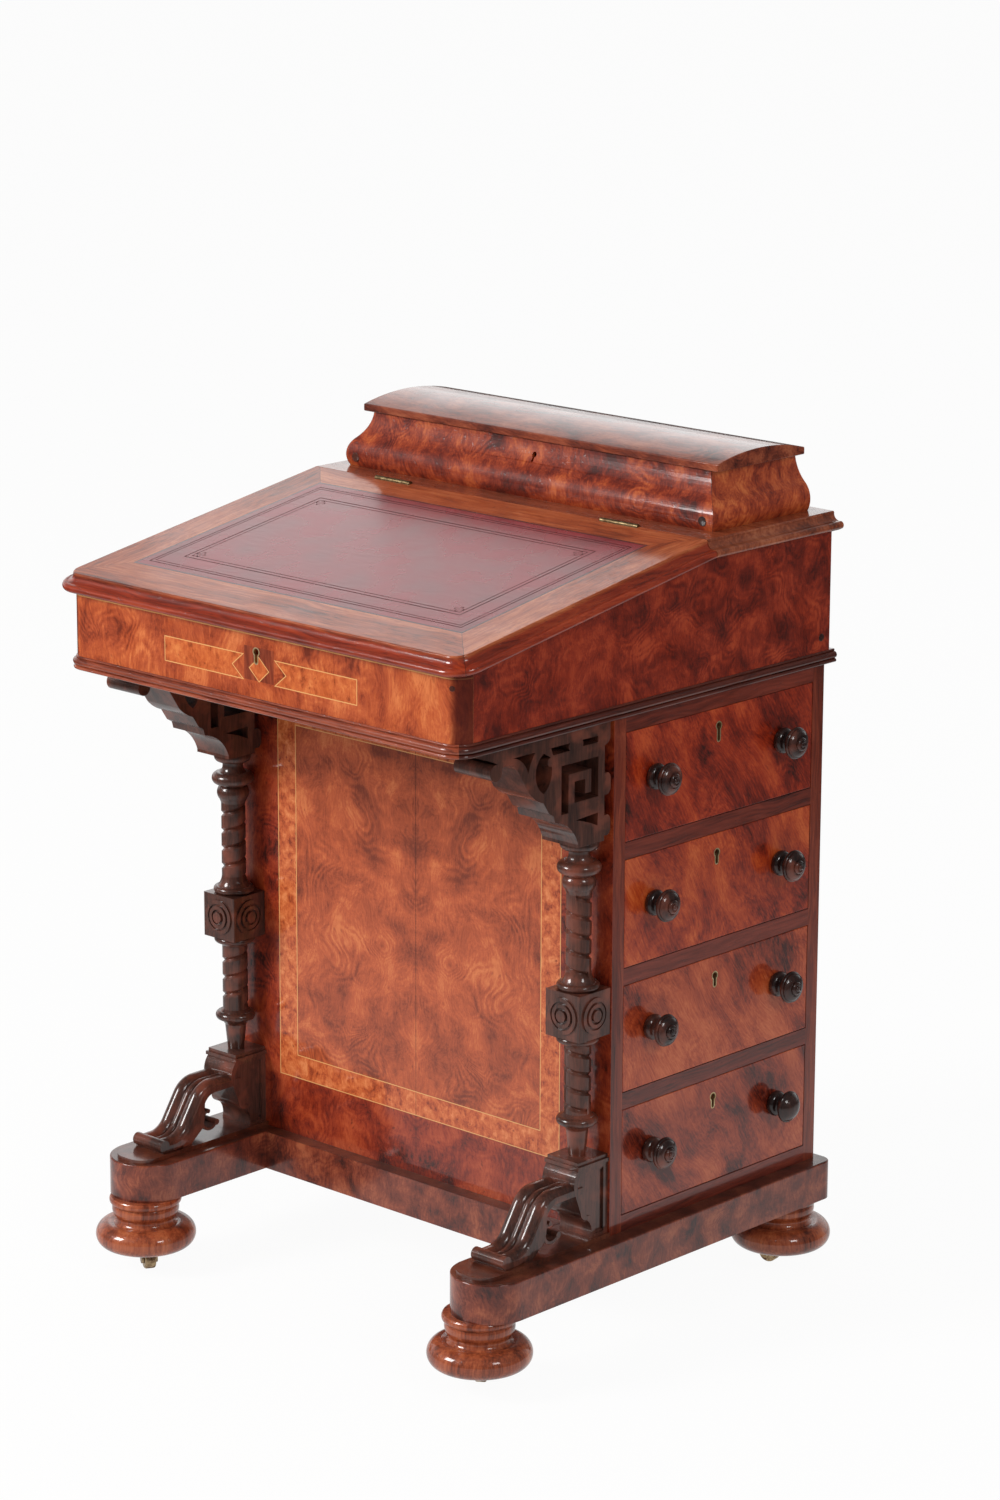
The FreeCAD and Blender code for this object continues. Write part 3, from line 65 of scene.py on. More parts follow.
lens = bpy.data.cameras.new("studio_camera")
lens.sensor_fit = "VERTICAL"
lens.sensor_height = 36.0
lens.lens = 36.0 * FOCAL_PIXELS / PICTURE_HIGH
camera = bpy.data.objects.new("studio_camera", lens)
bpy.context.scene.collection.objects.link(camera)
camera.matrix_world = (
    Matrix.Translation(EYE)
    @ Matrix.Rotation(math.radians(YAW), 4, "Z")
    @ Matrix.Rotation(math.radians(90 + PITCH), 4, "X")
    @ Matrix.Rotation(math.radians(ROLL), 4, "Z")
)
bpy.context.scene.camera = camera
print("lens", round(lens.lens, 1), "mm")

# %% [markdown]
# ## Shader nodes in one line
# Every finish below is a small network of shader nodes. One function adds a node, sets its options,
# fills or links its inputs and hands back one of its outputs, so that a network reads like a sum
# worked out line by line. An input is filled by its name, or by its number where several share one.
# Colours are written as sRGB hex, the way a colour picker shows them, and turned to linear.

# %% Helpers for the node networks
def add(tree, kind, settings=None, links=None, out=0, stops=()):
    """Adds a shader node, sets its options, fills or links its inputs, returns one output."""
    made = tree.nodes.new("ShaderNode" + kind)
    for name, value in (settings or {}).items():
        setattr(made, name, value)
    for number, (position, colour) in enumerate(stops):
        elements = made.color_ramp.elements
        stop = elements[number] if number < 2 else elements.new(position)
        stop.position = position
        stop.color = colour
    for name, source in (links or {}).items():
        if isinstance(source, bpy.types.NodeSocket):
            tree.links.new(source, made.inputs[name])
        else:
            made.inputs[name].default_value = source
    return made.outputs[out] if len(made.outputs) else None


def linear(colour):
    """An sRGB hex colour as linear red, green, blue and alpha."""
    values = [int(colour[n:n + 2], 16) / 255 for n in (1, 3, 5)]
    return tuple(v / 12.92 if v < 0.04045 else ((v + 0.055) / 1.055) ** 2.4 for v in values) + (1.0,)


def finish_named(name):
    """A new empty material and its node tree."""
    made = bpy.data.materials.new(name)
    made.use_nodes = True
    made.node_tree.nodes.clear()
    return made, made.node_tree


# Settings that many nodes share.
PLUS, MINUS, TIMES, TIMES_PLUS, UNSIGNED, LARGER, BELOW, AT, LENGTH = [
    {"operation": name} for name in ("ADD", "SUBTRACT", "MULTIPLY", "MULTIPLY_ADD", "ABSOLUTE",
                                     "MAXIMUM", "LESS_THAN", "COMPARE", "LENGTH")]
EASED = {"interpolation_type": "SMOOTHSTEP"}
COLOURS = {"data_type": "RGBA"}
SEEDED = {"noise_dimensions": "4D"}
print("white is", linear("#ffffff"))

# %% [markdown]
# ## The studio
# A pale sweep of floor and an even room with one bright end. The polish on the desk mirrors them:
# the top shows the pale wall behind it and the drawers show the floor. The floor is nearly white to
# the camera but keeps a trace of the desk's shadow.

# %% Floor and room
WHITE = linear("#ffffff")
LIT_NEAR, LIT_FAR = 0.3, 2.3  # metres from the desk over which the mirrored floor grows dark
SHADOW_SHARE = 0.05  # how much of the floor's own shading the camera sees under the white
BRIGHT_END = (-0.68, 0.73, 0.0)  # towards the wall behind the desk
grid = bmesh.new()
bmesh.ops.create_grid(grid, x_segments=1, y_segments=1, size=60)
floor_mesh = bpy.data.meshes.new("studio_floor")
grid.to_mesh(floor_mesh)
grid.free()
floor = bpy.data.objects.new("studio_floor", floor_mesh)
bpy.context.scene.collection.objects.link(floor)

paper, tree = finish_named("matt_white_paper_sweep")
away = add(tree, "VectorMath", LENGTH, {0: add(tree, "TexCoord", out="Object")}, "Value")
lit = add(tree, "MapRange", EASED, {"Value": away, 1: LIT_NEAR, 2: LIT_FAR, 3: 0.72, 4: 0.05})
mirrored = add(tree, "LightPath", out="Is Glossy Ray")
level = add(tree, "Mix", {}, {0: mirrored, 2: 1.0, 3: lit})
shown = add(tree, "Math", TIMES, {0: add(tree, "LightPath", out="Is Camera Ray"), 1: 1.0 - SHADOW_SHARE})
shown = add(tree, "Math", LARGER, {0: shown, 1: mirrored})
add(tree, "OutputMaterial", {}, {0: add(tree, "MixShader", {}, {
    0: shown,
    1: add(tree, "BsdfDiffuse", {}, {"Color": linear("#e8e6e4")}),
    2: add(tree, "Emission", {}, {"Color": WHITE, "Strength": level})})})
floor_mesh.materials.append(paper)

room = bpy.data.worlds.new("white_room_with_a_bright_end")
room.use_nodes = True
room.node_tree.nodes.clear()
tree = room.node_tree
towards = add(tree, "TexCoord", out="Generated")
facing = add(tree, "VectorMath", {"operation": "DOT_PRODUCT"}, {0: towards, 1: BRIGHT_END}, "Value")
bright_end = add(tree, "MapRange", EASED, {"Value": facing, 1: 0.25, 2: 0.85, 3: 0.0, 4: 1.0})
height = add(tree, "SeparateXYZ", {}, {0: towards}, "Z")
low_wall = add(tree, "MapRange", EASED, {"Value": height, 1: 0.24, 2: 0.66, 3: 1.0, 4: 0.12})
mirrored = add(tree, "Mix", {}, {0: bright_end, 2: 0.09, 3: low_wall})
level = add(tree, "Mix", {}, {0: add(tree, "LightPath", out="Is Glossy Ray"), 2: 0.5, 3: mirrored})
level = add(tree, "Mix", {}, {0: add(tree, "LightPath", out="Is Camera Ray"), 2: level, 3: 1.0})
add(tree, "OutputWorld", {}, {0: add(tree, "Background", {}, {"Color": WHITE, "Strength": level})})
bpy.context.scene.world = room
bpy.context.scene.view_settings.view_transform = "Standard"
print("room made")

# %% [markdown]
# ## The lamps
# A soft box is a lamp behind cloth; a wide one lights evenly and throws a shadow with a soft edge.
# The key stands in front on the left. A weaker one lifts the drawer side, and the faintest one
# reaches the back from behind.

# %% Lamps
def soft_lamp(name, at, towards, size, watts):
    """A square soft box that hangs at one point and faces another."""
    data = bpy.data.lights.new(name, "AREA")
    data.size = size
    data.energy = watts
    lamp = bpy.data.objects.new(name, data)
    bpy.context.scene.collection.objects.link(lamp)
    facing = (Vector(towards) - Vector(at)).to_track_quat("-Z", "Y")
    lamp.matrix_world = Matrix.Translation(at) @ facing.to_matrix().to_4x4()
    return lamp


soft_lamp("key_soft_box", (-1.7, -3.0, 2.3), (0, 0, 0.4), 1.3, 120)
soft_lamp("side_soft_box", (3.2, -0.6, 2.2), (0, 0, 0.4), 0.9, 26)
soft_lamp("back_soft_box", (-2.45, 2.5, 1.9), (0, 0, 0.7), 1.5, 3.4)
print("lamps hung")

# %% [markdown]
# ## Where a pattern lies on the wood
# A pattern is drawn in millimetres around a centre. `placed` turns it, so that the grain, which
# always runs along the pattern's own z, can run along any board. Taking every coordinate as positive
# folds the pattern about x = 0, for bookmatched veneer: two slices of one burr, opened like a book.

# %% Placing a pattern
def placed(tree, centre=(0, 0, 0), turn=(0, 0, 0), bookmatched=False):
    """Object coordinates in millimetres from a centre, turned by degrees about x, y and z."""
    point = add(tree, "TexCoord", out="Object")
    if bookmatched:
        point = add(tree, "VectorMath", UNSIGNED, {0: point})
    point = add(tree, "VectorMath", TIMES_PLUS, {
        0: point, 1: (1000, 1000, 1000), 2: [-value for value in centre]})
    turned = [math.radians(value) for value in turn]
    return add(tree, "Mapping", {}, {"Vector": point, "Rotation": turned})


print("pattern helpers ready")

# %% [markdown]
# ## Burr walnut
# A burr is a knotty growth. Sliced, it shows clouds of dark and light wood, contour lines that swirl
# round them, clusters of small dark eyes, and flecks too fine to count. Each of those is one
# noise or one cell pattern here, all pulled about by the same slow drift, so that they follow
# each other as they do in the wood.

# %% Burr figure
FLECK, HAIR, EYE_SPACING = 2.2, 1.7, 9  # millimetres: flecks, drawn-out grain, knots


def burr(tree, point, shades, seed, cloud=30.0, swirl=0.10, eyes=0.55, flame=1.0):
    """Colour and pits of burr veneer. Shades run dark to light; flame stretches it along z."""
    local = add(tree, "VectorMath", TIMES, {0: point, 1: (1, 1, 1 / flame)})
    drift = add(tree, "TexNoise", SEEDED, {
        "Vector": local, "W": seed, "Scale": 1 / (2.0 * cloud), "Detail": 2.0}, "Color")
    pulled = add(tree, "VectorMath", TIMES_PLUS, {0: drift, 1: (1.7 * cloud,) * 3, 2: local})
    clouds = add(tree, "TexNoise", SEEDED, {
        "Vector": pulled, "W": seed + 5, "Scale": 1 / cloud, "Detail": 5.0, "Roughness": 0.56})
    contour = add(tree, "TexNoise", SEEDED, {
        "Vector": pulled, "W": seed + 9, "Scale": 0.5 / cloud, "Detail": 1.0, "Distortion": 0.3})
    rings = add(tree, "Math", TIMES, {0: contour, 1: 4.6 * cloud})
    rings = add(tree, "Math", {"operation": "SINE"}, {0: rings})
    patches = add(tree, "TexNoise", SEEDED, {
        "Vector": local, "W": seed + 13, "Scale": 0.7 / cloud, "Detail": 1.0})
    where = add(tree, "MapRange", {}, {"Value": patches, 1: 0.42, 2: 0.62, 3: 0.0, 4: swirl})
    flecks = add(tree, "TexNoise", {}, {
        "Vector": pulled, "Scale": 1 / FLECK, "Detail": 3.0, "Roughness": 0.7})
    combed = add(tree, "VectorMath", TIMES, {0: pulled, 1: (1, 1, 0.12)})
    grain = add(tree, "TexNoise", {}, {
        "Vector": combed, "Scale": 1 / HAIR, "Detail": 3.0, "Roughness": 0.6})
    tone = add(tree, "Math", MINUS, {0: clouds, 1: 0.30})
    for layer, share in ((flecks, 0.26), (grain, 0.34), (rings, where)):
        tone = add(tree, "Math", TIMES_PLUS, {0: layer, 1: share, 2: tone})
    figure = add(tree, "ValToRGB", {}, {0: tone}, stops=[
        (0.30, linear(shades[0])), (0.44, linear(shades[1])),
        (0.56, linear(shades[2])), (0.70, linear(shades[3]))])
    near = add(tree, "TexVoronoi", {}, {
        "Vector": pulled, "Scale": 1 / EYE_SPACING, "Randomness": 1.0}, "Distance")
    clusters = add(tree, "TexNoise", {}, {"Vector": local, "Scale": 0.8 / cloud, "Detail": 1.0})
    grouped = add(tree, "MapRange", EASED, {"Value": clusters, 1: 0.48, 2: 0.58, 3: 0.0, 4: eyes})
    dots = add(tree, "MapRange", EASED, {"Value": near, 1: 0.22, 2: 0.05, 3: 0.0, 4: 1.0})
    eye = add(tree, "Math", TIMES, {0: grouped, 1: dots})
    colour = add(tree, "Mix", COLOURS, {0: eye, 6: figure, 7: linear(shades[0])}, 2)
    pores = add(tree, "MapRange", {}, {"Value": flecks, 1: 0.36, 2: 0.28, 3: 0.0, 4: 1.0})
    return colour, add(tree, "Math", TIMES_PLUS, {0: eye, 1: 1.2, 2: pores})


print("burr ready")

# %% [markdown]
# ## Straight-grained wood
# Rails, mouldings and turned parts are cut along the trunk, so they show long streaks and short
# open pores in line with the grain. Stretching the noise along z does both.

# %% Straight grain
def straight(tree, point, shades, seed, streak=2.6, run=24.0):
    """Colour and pits of straight-grained wood; a streak is so many millimetres wide."""
    sway = add(tree, "TexNoise", SEEDED, {
        "Vector": point, "W": seed, "Scale": 1 / 70, "Detail": 1.0}, "Color")
    bent = add(tree, "VectorMath", TIMES_PLUS, {0: sway, 1: (16, 16, 0), 2: point})
    long = add(tree, "VectorMath", TIMES, {0: bent, 1: (1, 1, 1 / run)})
    fine = add(tree, "TexNoise", SEEDED, {
        "Vector": long, "W": seed, "Scale": 1 / streak, "Detail": 5.0, "Roughness": 0.6})
    broad = add(tree, "TexNoise", SEEDED, {
        "Vector": long, "W": seed + 4, "Scale": 0.12 / streak, "Detail": 2.0})
    tone = add(tree, "Math", TIMES, {0: fine, 1: 0.5})
    tone = add(tree, "Math", TIMES_PLUS, {0: broad, 1: 0.5, 2: tone})
    colour = add(tree, "ValToRGB", {}, {0: tone}, stops=[
        (0.36, linear(shades[0])), (0.50, linear(shades[1])), (0.64, linear(shades[2]))])
    short = add(tree, "VectorMath", TIMES, {0: bent, 1: (1, 1, 1 / 7)})
    pore = add(tree, "TexNoise", {}, {"Vector": short, "Scale": 1 / 0.9, "Detail": 1.0})
    pore = add(tree, "MapRange", {}, {"Value": pore, 1: 0.34, 2: 0.26, 3: 0.0, 4: 1.0})
    dark = add(tree, "Math", TIMES, {0: pore, 1: 0.6})
    return add(tree, "Mix", COLOURS, {0: dark, 6: colour, 7: linear(shades[0])}, 2), pore


print("straight grain ready")

# %% [markdown]
# ## French polish
# Shellac rubbed on in many thin coats gives a clear, soft gloss over the wood. It has been handled
# for a hundred and fifty years, so the gloss is cloudier in some places, and the pores show
# through it as tiny pits. The clear coat carries the gloss; the wood below stays fairly matt.

# %% Polish
def polish(tree, colour, pits, rough=0.46, coat=1.0, coat_rough=0.09, pit=0.05, wave=0.02):
    """Ends a finish with polished wood: pits and waves are heights in millimetres."""
    point = placed(tree)
    handled = add(tree, "TexNoise", {}, {"Vector": point, "Scale": 1 / 40, "Detail": 4.0})
    cloudy = add(tree, "MapRange", {}, {
        "Value": handled, 1: 0.3, 2: 0.7, 3: rough - 0.09, 4: rough + 0.11})
    waves = add(tree, "TexNoise", {}, {"Vector": point, "Scale": 1 / 13, "Detail": 1.0})
    height = add(tree, "Math", TIMES, {0: waves, 1: wave})
    height = add(tree, "Math", TIMES_PLUS, {0: pits, 1: -pit, 2: height})
    bump = add(tree, "Bump", {}, {"Height": height, "Distance": 0.001, "Strength": 1.0})
    wood = add(tree, "BsdfPrincipled", {}, {
        "Base Color": colour, "Roughness": cloudy, "IOR": 1.5, "Specular IOR Level": 0.2,
        "Coat Weight": coat, "Coat Roughness": coat_rough, "Coat IOR": 1.5,
        "Normal": bump, "Coat Normal": bump})
    add(tree, "OutputMaterial", {}, {0: wood})


print("polish ready")

# %% [markdown]
# ## Let-in lines and bands
# Stringing is a thread of boxwood glued into a groove, level with the veneer, so it changes the
# colour and not the shape. A drawing made of distances gives every line an even width: the
# distance to a rectangle's edge is below zero inside it and above zero outside.

# %% Drawing inlay
def from_rectangle(tree, across, up, middle, half):
    """Millimetres outside a rectangle's edge, negative inside it."""
    reach = []
    for value, centre, size in zip((across, up), middle, half):
        offset = add(tree, "Math", MINUS, {0: value, 1: centre})
        size_off = add(tree, "Math", UNSIGNED, {0: offset})
        reach.append(add(tree, "Math", MINUS, {0: size_off, 1: size}))
    return add(tree, "Math", LARGER, {0: reach[0], 1: reach[1]})


BARE_WOOD = ["#4c2212", "#743c20", "#8e5430"]
BOXWOOD = linear("#d69e62")
SEAM = linear("#2a100a")
THREAD, JOINT = 0.9, 0.5  # millimetres wide
LEVEL, AWAY = (0, 90, 0), (90, 0, 0)  # turns that lay the grain left to right, or front to back
SHADED = {"data_type": "RGBA", "blend_type": "MULTIPLY"}
print("inlay ready")

# %% [markdown]
# ## Front panel
# The panel under the slope is the showpiece: bookmatched burr, framed by a brighter crossbanding
# between two boxwood threads, with darker burr outside it. Only the face is veneered; its edges
# show the plain wood of the carcase, so the pattern is masked by depth.

# %% Front panel
RED_STILE = ["#3c120a", "#6e2816", "#8e3e24"]
PANEL_MIDDLE, PANEL_FACE = 358, -55.8
FIELD_HALF, BAND_HALF = (160, 166), (184, 189.4)
finish, tree = finish_named("bookmatched_burr_walnut_panel")
point = placed(tree)
x, y, z = [add(tree, "SeparateXYZ", {}, {0: point}, axis) for axis in "XYZ"]
field = burr(tree, placed(tree, (0, 0, 340), bookmatched=True),
             ["#74301a", "#9a4424", "#b5552e", "#ca7040"], 3.0, 38.0, 0.06, 0.5)
band = burr(tree, placed(tree), ["#7e3016", "#b45228", "#c86838", "#d8824e"], 7.0, 8.0, 0.02, 0.9)
border = burr(tree, placed(tree, (0, 0, 120), bookmatched=True),
              ["#340b05", "#7a2410", "#98381a", "#b04e2a"], 11.0, 34.0, 0.05, 0.6)
edges = [from_rectangle(tree, x, z, (0, PANEL_MIDDLE), half) for half in (FIELD_HALF, BAND_HALF)]
in_field, in_band = [add(tree, "Math", BELOW, {0: edge, 1: 0.0}) for edge in edges]
threads = [add(tree, "Math", AT, {0: edge, 1: 0.0, 2: THREAD / 2}) for edge in edges]
lines = add(tree, "Math", LARGER, {0: threads[0], 1: threads[1]})
middle_seam = add(tree, "Math", AT, {0: x, 1: 0.0, 2: JOINT / 2})
colour = border[0]
for mask, wood in ((in_band, band[0]), (in_field, field[0]), (middle_seam, SEAM), (lines, BOXWOOD)):
    colour = add(tree, "Mix", COLOURS, {0: mask, 6: colour, 7: wood}, 2)
plain = straight(tree, placed(tree), RED_STILE, 2.0)
on_face = add(tree, "Math", BELOW, {0: y, 1: PANEL_FACE})
colour = add(tree, "Mix", COLOURS, {0: on_face, 6: plain[0], 7: colour}, 2)
polish(tree, colour, field[1])
FRONT_PANEL = finish
print(finish.name)

# %% [markdown]
# ## Slope box
# The front board carries two swallow-tailed flags on either side of the keyhole and a diamond below
# it, cut from paler burr and edged with a boxwood thread. A plain tablet surrounds the keyhole, and
# a thread runs along the top. The flags mirror each other, so distances are measured from the
# middle between them. Where the veneer turns round a corner, shade is painted on it.

# %% Slope box front
INLAY_MIDDLE, INLAY_HEIGHT = 3.5, 641.5
FLAG_MIDDLE, FLAG_HALF = (60, 0), (63, 11.5)
NOTCH, NOTCH_SLANT = 34.5, 1.22  # the swallow tail's depth, and how far it runs in for each mm up
TABLET_MIDDLE, TABLET_HALF, TOP_LINE = (0, 646), (19, 15.5), 672.6
ROUNDING = (236.0, 244.0)  # where the corner starts to turn and where it is well turned
BOX_INNER_FACE, SIDE_INNER_FACE = -243.5, 249.0
finish, tree = finish_named("inlaid_burr_walnut_front")
point = placed(tree)
x, y, z = [add(tree, "SeparateXYZ", {}, {0: point}, axis) for axis in "XYZ"]
ground = burr(tree, placed(tree, (40, 0, 600)),
              ["#6c2610", "#9c401e", "#b7562a", "#cf7440"], 21.0, 32.0, 0.05, 0.4, 1.4)
pale = burr(tree, placed(tree), ["#823410", "#b65424", "#c4622e", "#d27a40"], 5.0, 9.0, 0.02, 0.8)
plain = straight(tree, placed(tree), ["#5c2010", "#8a3a20", "#a04a2a"], 8.0)
u, v = [add(tree, "Math", UNSIGNED, {0: add(tree, "Math", MINUS, {0: value, 1: middle})})
        for value, middle in ((x, INLAY_MIDDLE), (z, INLAY_HEIGHT))]
tail = add(tree, "Math", TIMES_PLUS, {0: v, 1: -NOTCH_SLANT, 2: NOTCH})
tail = add(tree, "Math", MINUS, {0: tail, 1: u})
tail = add(tree, "Math", TIMES, {0: tail, 1: 0.63})
banner = from_rectangle(tree, u, v, FLAG_MIDDLE, FLAG_HALF)
flag = add(tree, "Math", LARGER, {0: tail, 1: banner})
diamond = add(tree, "Math", TIMES_PLUS, {0: v, 1: 0.80, 2: -9.0})
diamond = add(tree, "Math", TIMES_PLUS, {0: u, 1: 0.72, 2: diamond})
tablet = from_rectangle(tree, u, z, TABLET_MIDDLE, TABLET_HALF)
top_line = add(tree, "Math", AT, {0: z, 1: TOP_LINE, 2: 0.5})
colour = ground[0]
for shape, wood in ((tablet, plain[0]), (flag, pale[0]), (diamond, pale[0])):
    within = add(tree, "Math", BELOW, {0: shape, 1: 0.0})
    colour = add(tree, "Mix", COLOURS, {0: within, 6: colour, 7: wood}, 2)
threads = [add(tree, "Math", AT, {0: shape, 1: 0.0, 2: THREAD / 2}) for shape in (flag, diamond)]
lines = add(tree, "Math", LARGER, {0: threads[0], 1: threads[1]})
lines = add(tree, "Math", LARGER, {0: lines, 1: top_line})
colour = add(tree, "Mix", COLOURS, {0: lines, 6: colour, 7: BOXWOOD}, 2)
# Painted shade: the front darkens across its round corners, where it turns away from the light.
painted_corner_shade = add(tree, "Math", UNSIGNED, {0: x})
painted_corner_shade = add(tree, "MapRange", EASED, {
    "Value": painted_corner_shade, 1: ROUNDING[0], 2: ROUNDING[1], 3: 0.0, 4: 1.0})
colour = add(tree, "Mix", SHADED, {0: painted_corner_shade, 6: colour, 7: linear("#8e6a60")}, 2)
bare = straight(tree, placed(tree, turn=LEVEL), BARE_WOOD, 22.0)
outside = add(tree, "Math", BELOW, {0: y, 1: BOX_INNER_FACE})
colour = add(tree, "Mix", COLOURS, {0: outside, 6: bare[0], 7: colour}, 2)
polish(tree, colour, ground[1])
BOX_FRONT = finish

finish, tree = finish_named("dark_burr_walnut_sides")
side = burr(tree, placed(tree), ["#4c1006", "#701c09", "#8c2a11", "#a63e1e"], 31.0, 27.0, 0.06, 0.3)
across = add(tree, "SeparateXYZ", {}, {0: placed(tree)}, "X")
across = add(tree, "Math", UNSIGNED, {0: across})
bare = straight(tree, placed(tree, turn=AWAY), BARE_WOOD, 23.0)
within = add(tree, "Math", BELOW, {0: across, 1: SIDE_INNER_FACE})
colour = add(tree, "Mix", COLOURS, {0: within, 6: side[0], 7: bare[0]}, 2)
polish(tree, colour, side[1])
BOX_SIDES = finish
print("slope box finishes made")

# %% [markdown]
# ## The lid's border and moulded edge
# Long-grained walnut runs round the leather and meets in mitres at its corners. The grain turns
# with the frame: along the front and back edges it runs left to right, along the sides it runs up
# the slope. A mask that compares the distance past each side of the leather finds the mitre.

# %% Lid and fixed board
HINGE_LINE, TOP_LEVEL = 64, 747  # the slope's upper edge, in millimetres
FALL, RUN = 54, 325
SLOPE = math.degrees(math.atan2(FALL, RUN))
SLOPE_LENGTH = math.hypot(FALL, RUN)
LEATHER_SIDE, LEATHER_REAR, LEATHER_FRONT = 210, 35, 46
UNDERSIDE, MOULDED = -18.8, (-1.2, -4.0)  # heights off the slope
half_leather = (SLOPE_LENGTH - LEATHER_FRONT - LEATHER_REAR) / 2
leather_middle = LEATHER_REAR + half_leather
FRAME_WOOD = ["#541b0c", "#a04a24", "#c47246"]


def on_slope(tree):
    """Millimetres from the hinge line: across, up the slope, and off its surface."""
    hinge = placed(tree, (0, HINGE_LINE, TOP_LEVEL))
    return add(tree, "Mapping", {}, {"Vector": hinge, "Rotation": (math.radians(-SLOPE), 0, 0)})


finish, tree = finish_named("mitred_walnut_lid_frame")
slope = on_slope(tree)
x, s, h = [add(tree, "SeparateXYZ", {}, {0: slope}, axis) for axis in "XYZ"]
past_side = add(tree, "Math", MINUS, {0: add(tree, "Math", UNSIGNED, {0: x}), 1: LEATHER_SIDE})
from_middle = add(tree, "Math", UNSIGNED, {0: add(tree, "Math", PLUS, {0: s, 1: leather_middle})})
past_end = add(tree, "Math", MINUS, {0: from_middle, 1: half_leather})
mitre = add(tree, "Math", MINUS, {0: past_side, 1: past_end})
sideways = straight(tree, placed(tree, turn=LEVEL), FRAME_WOOD, 4.0, 3.0, 18.0)
upward = straight(tree, placed(tree, turn=AWAY), FRAME_WOOD, 6.0, 3.0, 18.0)
on_end = add(tree, "Math", BELOW, {0: mitre, 1: 0.0})
colour = add(tree, "Mix", COLOURS, {0: on_end, 6: upward[0], 7: sideways[0]}, 2)
seam = add(tree, "Math", TIMES, {0: add(tree, "Math", AT, {0: mitre, 1: 0.0, 2: 0.35}), 1: 0.8})
colour = add(tree, "Mix", COLOURS, {0: seam, 6: colour, 7: SEAM}, 2)
moulded = add(tree, "MapRange", {}, {"Value": h, 1: MOULDED[0], 2: MOULDED[1], 3: 0.0, 4: 1.0})
colour = add(tree, "Mix", SHADED, {0: moulded, 6: colour, 7: linear("#dc9878")}, 2)
underside = add(tree, "Math", BELOW, {0: h, 1: UNDERSIDE})
bare = straight(tree, placed(tree, turn=LEVEL), BARE_WOOD, 24.0)
colour = add(tree, "Mix", COLOURS, {0: underside, 6: colour, 7: bare[0]}, 2)
polish(tree, colour, sideways[1], coat_rough=0.11)
LID_FRAME = finish

finish, tree = finish_named("walnut_fixed_board")
board = straight(tree, placed(tree, turn=LEVEL), ["#5c2816", "#8c4428", "#aa6240"], 14.0, 3.0, 18.0)
polish(tree, board[0], board[1], coat_rough=0.12)
TOP_BOARD = finish
print("lid finishes made")

# %% [markdown]
# ## Drawer fronts
# Each front is one sheet of flame-figured veneer, so each gets its own seed and its own place in
# the figure. The fronts have no lip or bead and end sharp in their openings.

# %% Drawer fronts
DRAWER_FACE, VENEER = 247, 0.7  # millimetres from the middle, and thick


def drawer_veneer(number, shades):
    """Flame veneer for one drawer: slanting clouds, drawn out along the grain."""
    made, tree = finish_named(f"flame_walnut_drawer_{number}")
    point = placed(tree, (DRAWER_FACE, 90, 0), (-32, 0, 0))
    figure = burr(tree, point, shades, 40.0 + 3 * number, 34.0, 0.03, 0.3, 1.9)
    across = add(tree, "SeparateXYZ", {}, {0: placed(tree)}, "X")
    across = add(tree, "Math", UNSIGNED, {0: across})
    bare = straight(tree, placed(tree, turn=AWAY), BARE_WOOD, 25.0)
    behind = add(tree, "Math", BELOW, {0: across, 1: DRAWER_FACE - VENEER})
    colour = add(tree, "Mix", COLOURS, {0: behind, 6: figure[0], 7: bare[0]}, 2)
    polish(tree, colour, figure[1], coat_rough=0.11)
    return made


DRAWERS = {}
for number, shades in enumerate([
        ["#300903", "#701a07", "#982e10", "#b84a20"],
        ["#3c0c04", "#842610", "#a83e18", "#c25a2a"],
        ["#42120a", "#8a3016", "#ac4a26", "#c26238"],
        ["#42110a", "#84301a", "#a44626", "#b85c36"]], 1):
    DRAWERS[number] = drawer_veneer(number, shades)
print(len(DRAWERS), "drawer veneers")

# %% [markdown]
# ## Stationery box
# Its swelling walls are faced with flame veneer and meet in mitres at the front corners. The ends
# have their own sheet, with painted light that makes it brighter than the front. A mitre at 45
# degrees is where the distances across and back add up to one number, so a sum of two coordinates
# finds it.

# %% Stationery box
MITRE = 325.0  # |x| + y on the mitre between the front and an end, in millimetres
WELL_MIDDLE, WELL_HALF = (0, 169.7), (206.5, 51.5)
LID_UNDERSIDE = 799.7
finish, tree = finish_named("flame_walnut_stationery_box")
front_veneer = burr(tree, placed(tree, turn=(0, 14, 0)),
                    ["#421008", "#6e200e", "#94381a", "#b85a2c"], 55.0, 24.0, 0.06, 0.3, 1.3)
# Painted light: the ends get a lighter sheet than the front, standing in for the light that falls on
# them.
end_veneer_with_painted_light = burr(tree, placed(tree, turn=(20, 0, 0)),
                  ["#5c180a", "#923416", "#b65026", "#ce6e38"], 57.0, 17.0, 0.05, 0.3, 1.5)
point = placed(tree)
x, y = [add(tree, "SeparateXYZ", {}, {0: point}, axis) for axis in "XY"]
mitre = add(tree, "Math", PLUS, {0: y, 1: -MITRE})
mitre = add(tree, "Math", PLUS, {0: mitre, 1: add(tree, "Math", UNSIGNED, {0: x})})
on_front = add(tree, "Math", BELOW, {0: mitre, 1: 0.0})
seam = add(tree, "Math", AT, {0: mitre, 1: 0.0, 2: JOINT / 2})
well = from_rectangle(tree, x, y, WELL_MIDDLE, WELL_HALF)
in_well = add(tree, "Math", BELOW, {0: well, 1: 0.0})
bare = straight(tree, placed(tree, turn=LEVEL), BARE_WOOD, 26.0)
colour = end_veneer_with_painted_light[0]
for mask, wood in ((on_front, front_veneer[0]), (seam, SEAM), (in_well, bare[0])):
    colour = add(tree, "Mix", COLOURS, {0: mask, 6: colour, 7: wood}, 2)
polish(tree, colour, front_veneer[1], coat_rough=0.09)
PEN_WALLS = finish

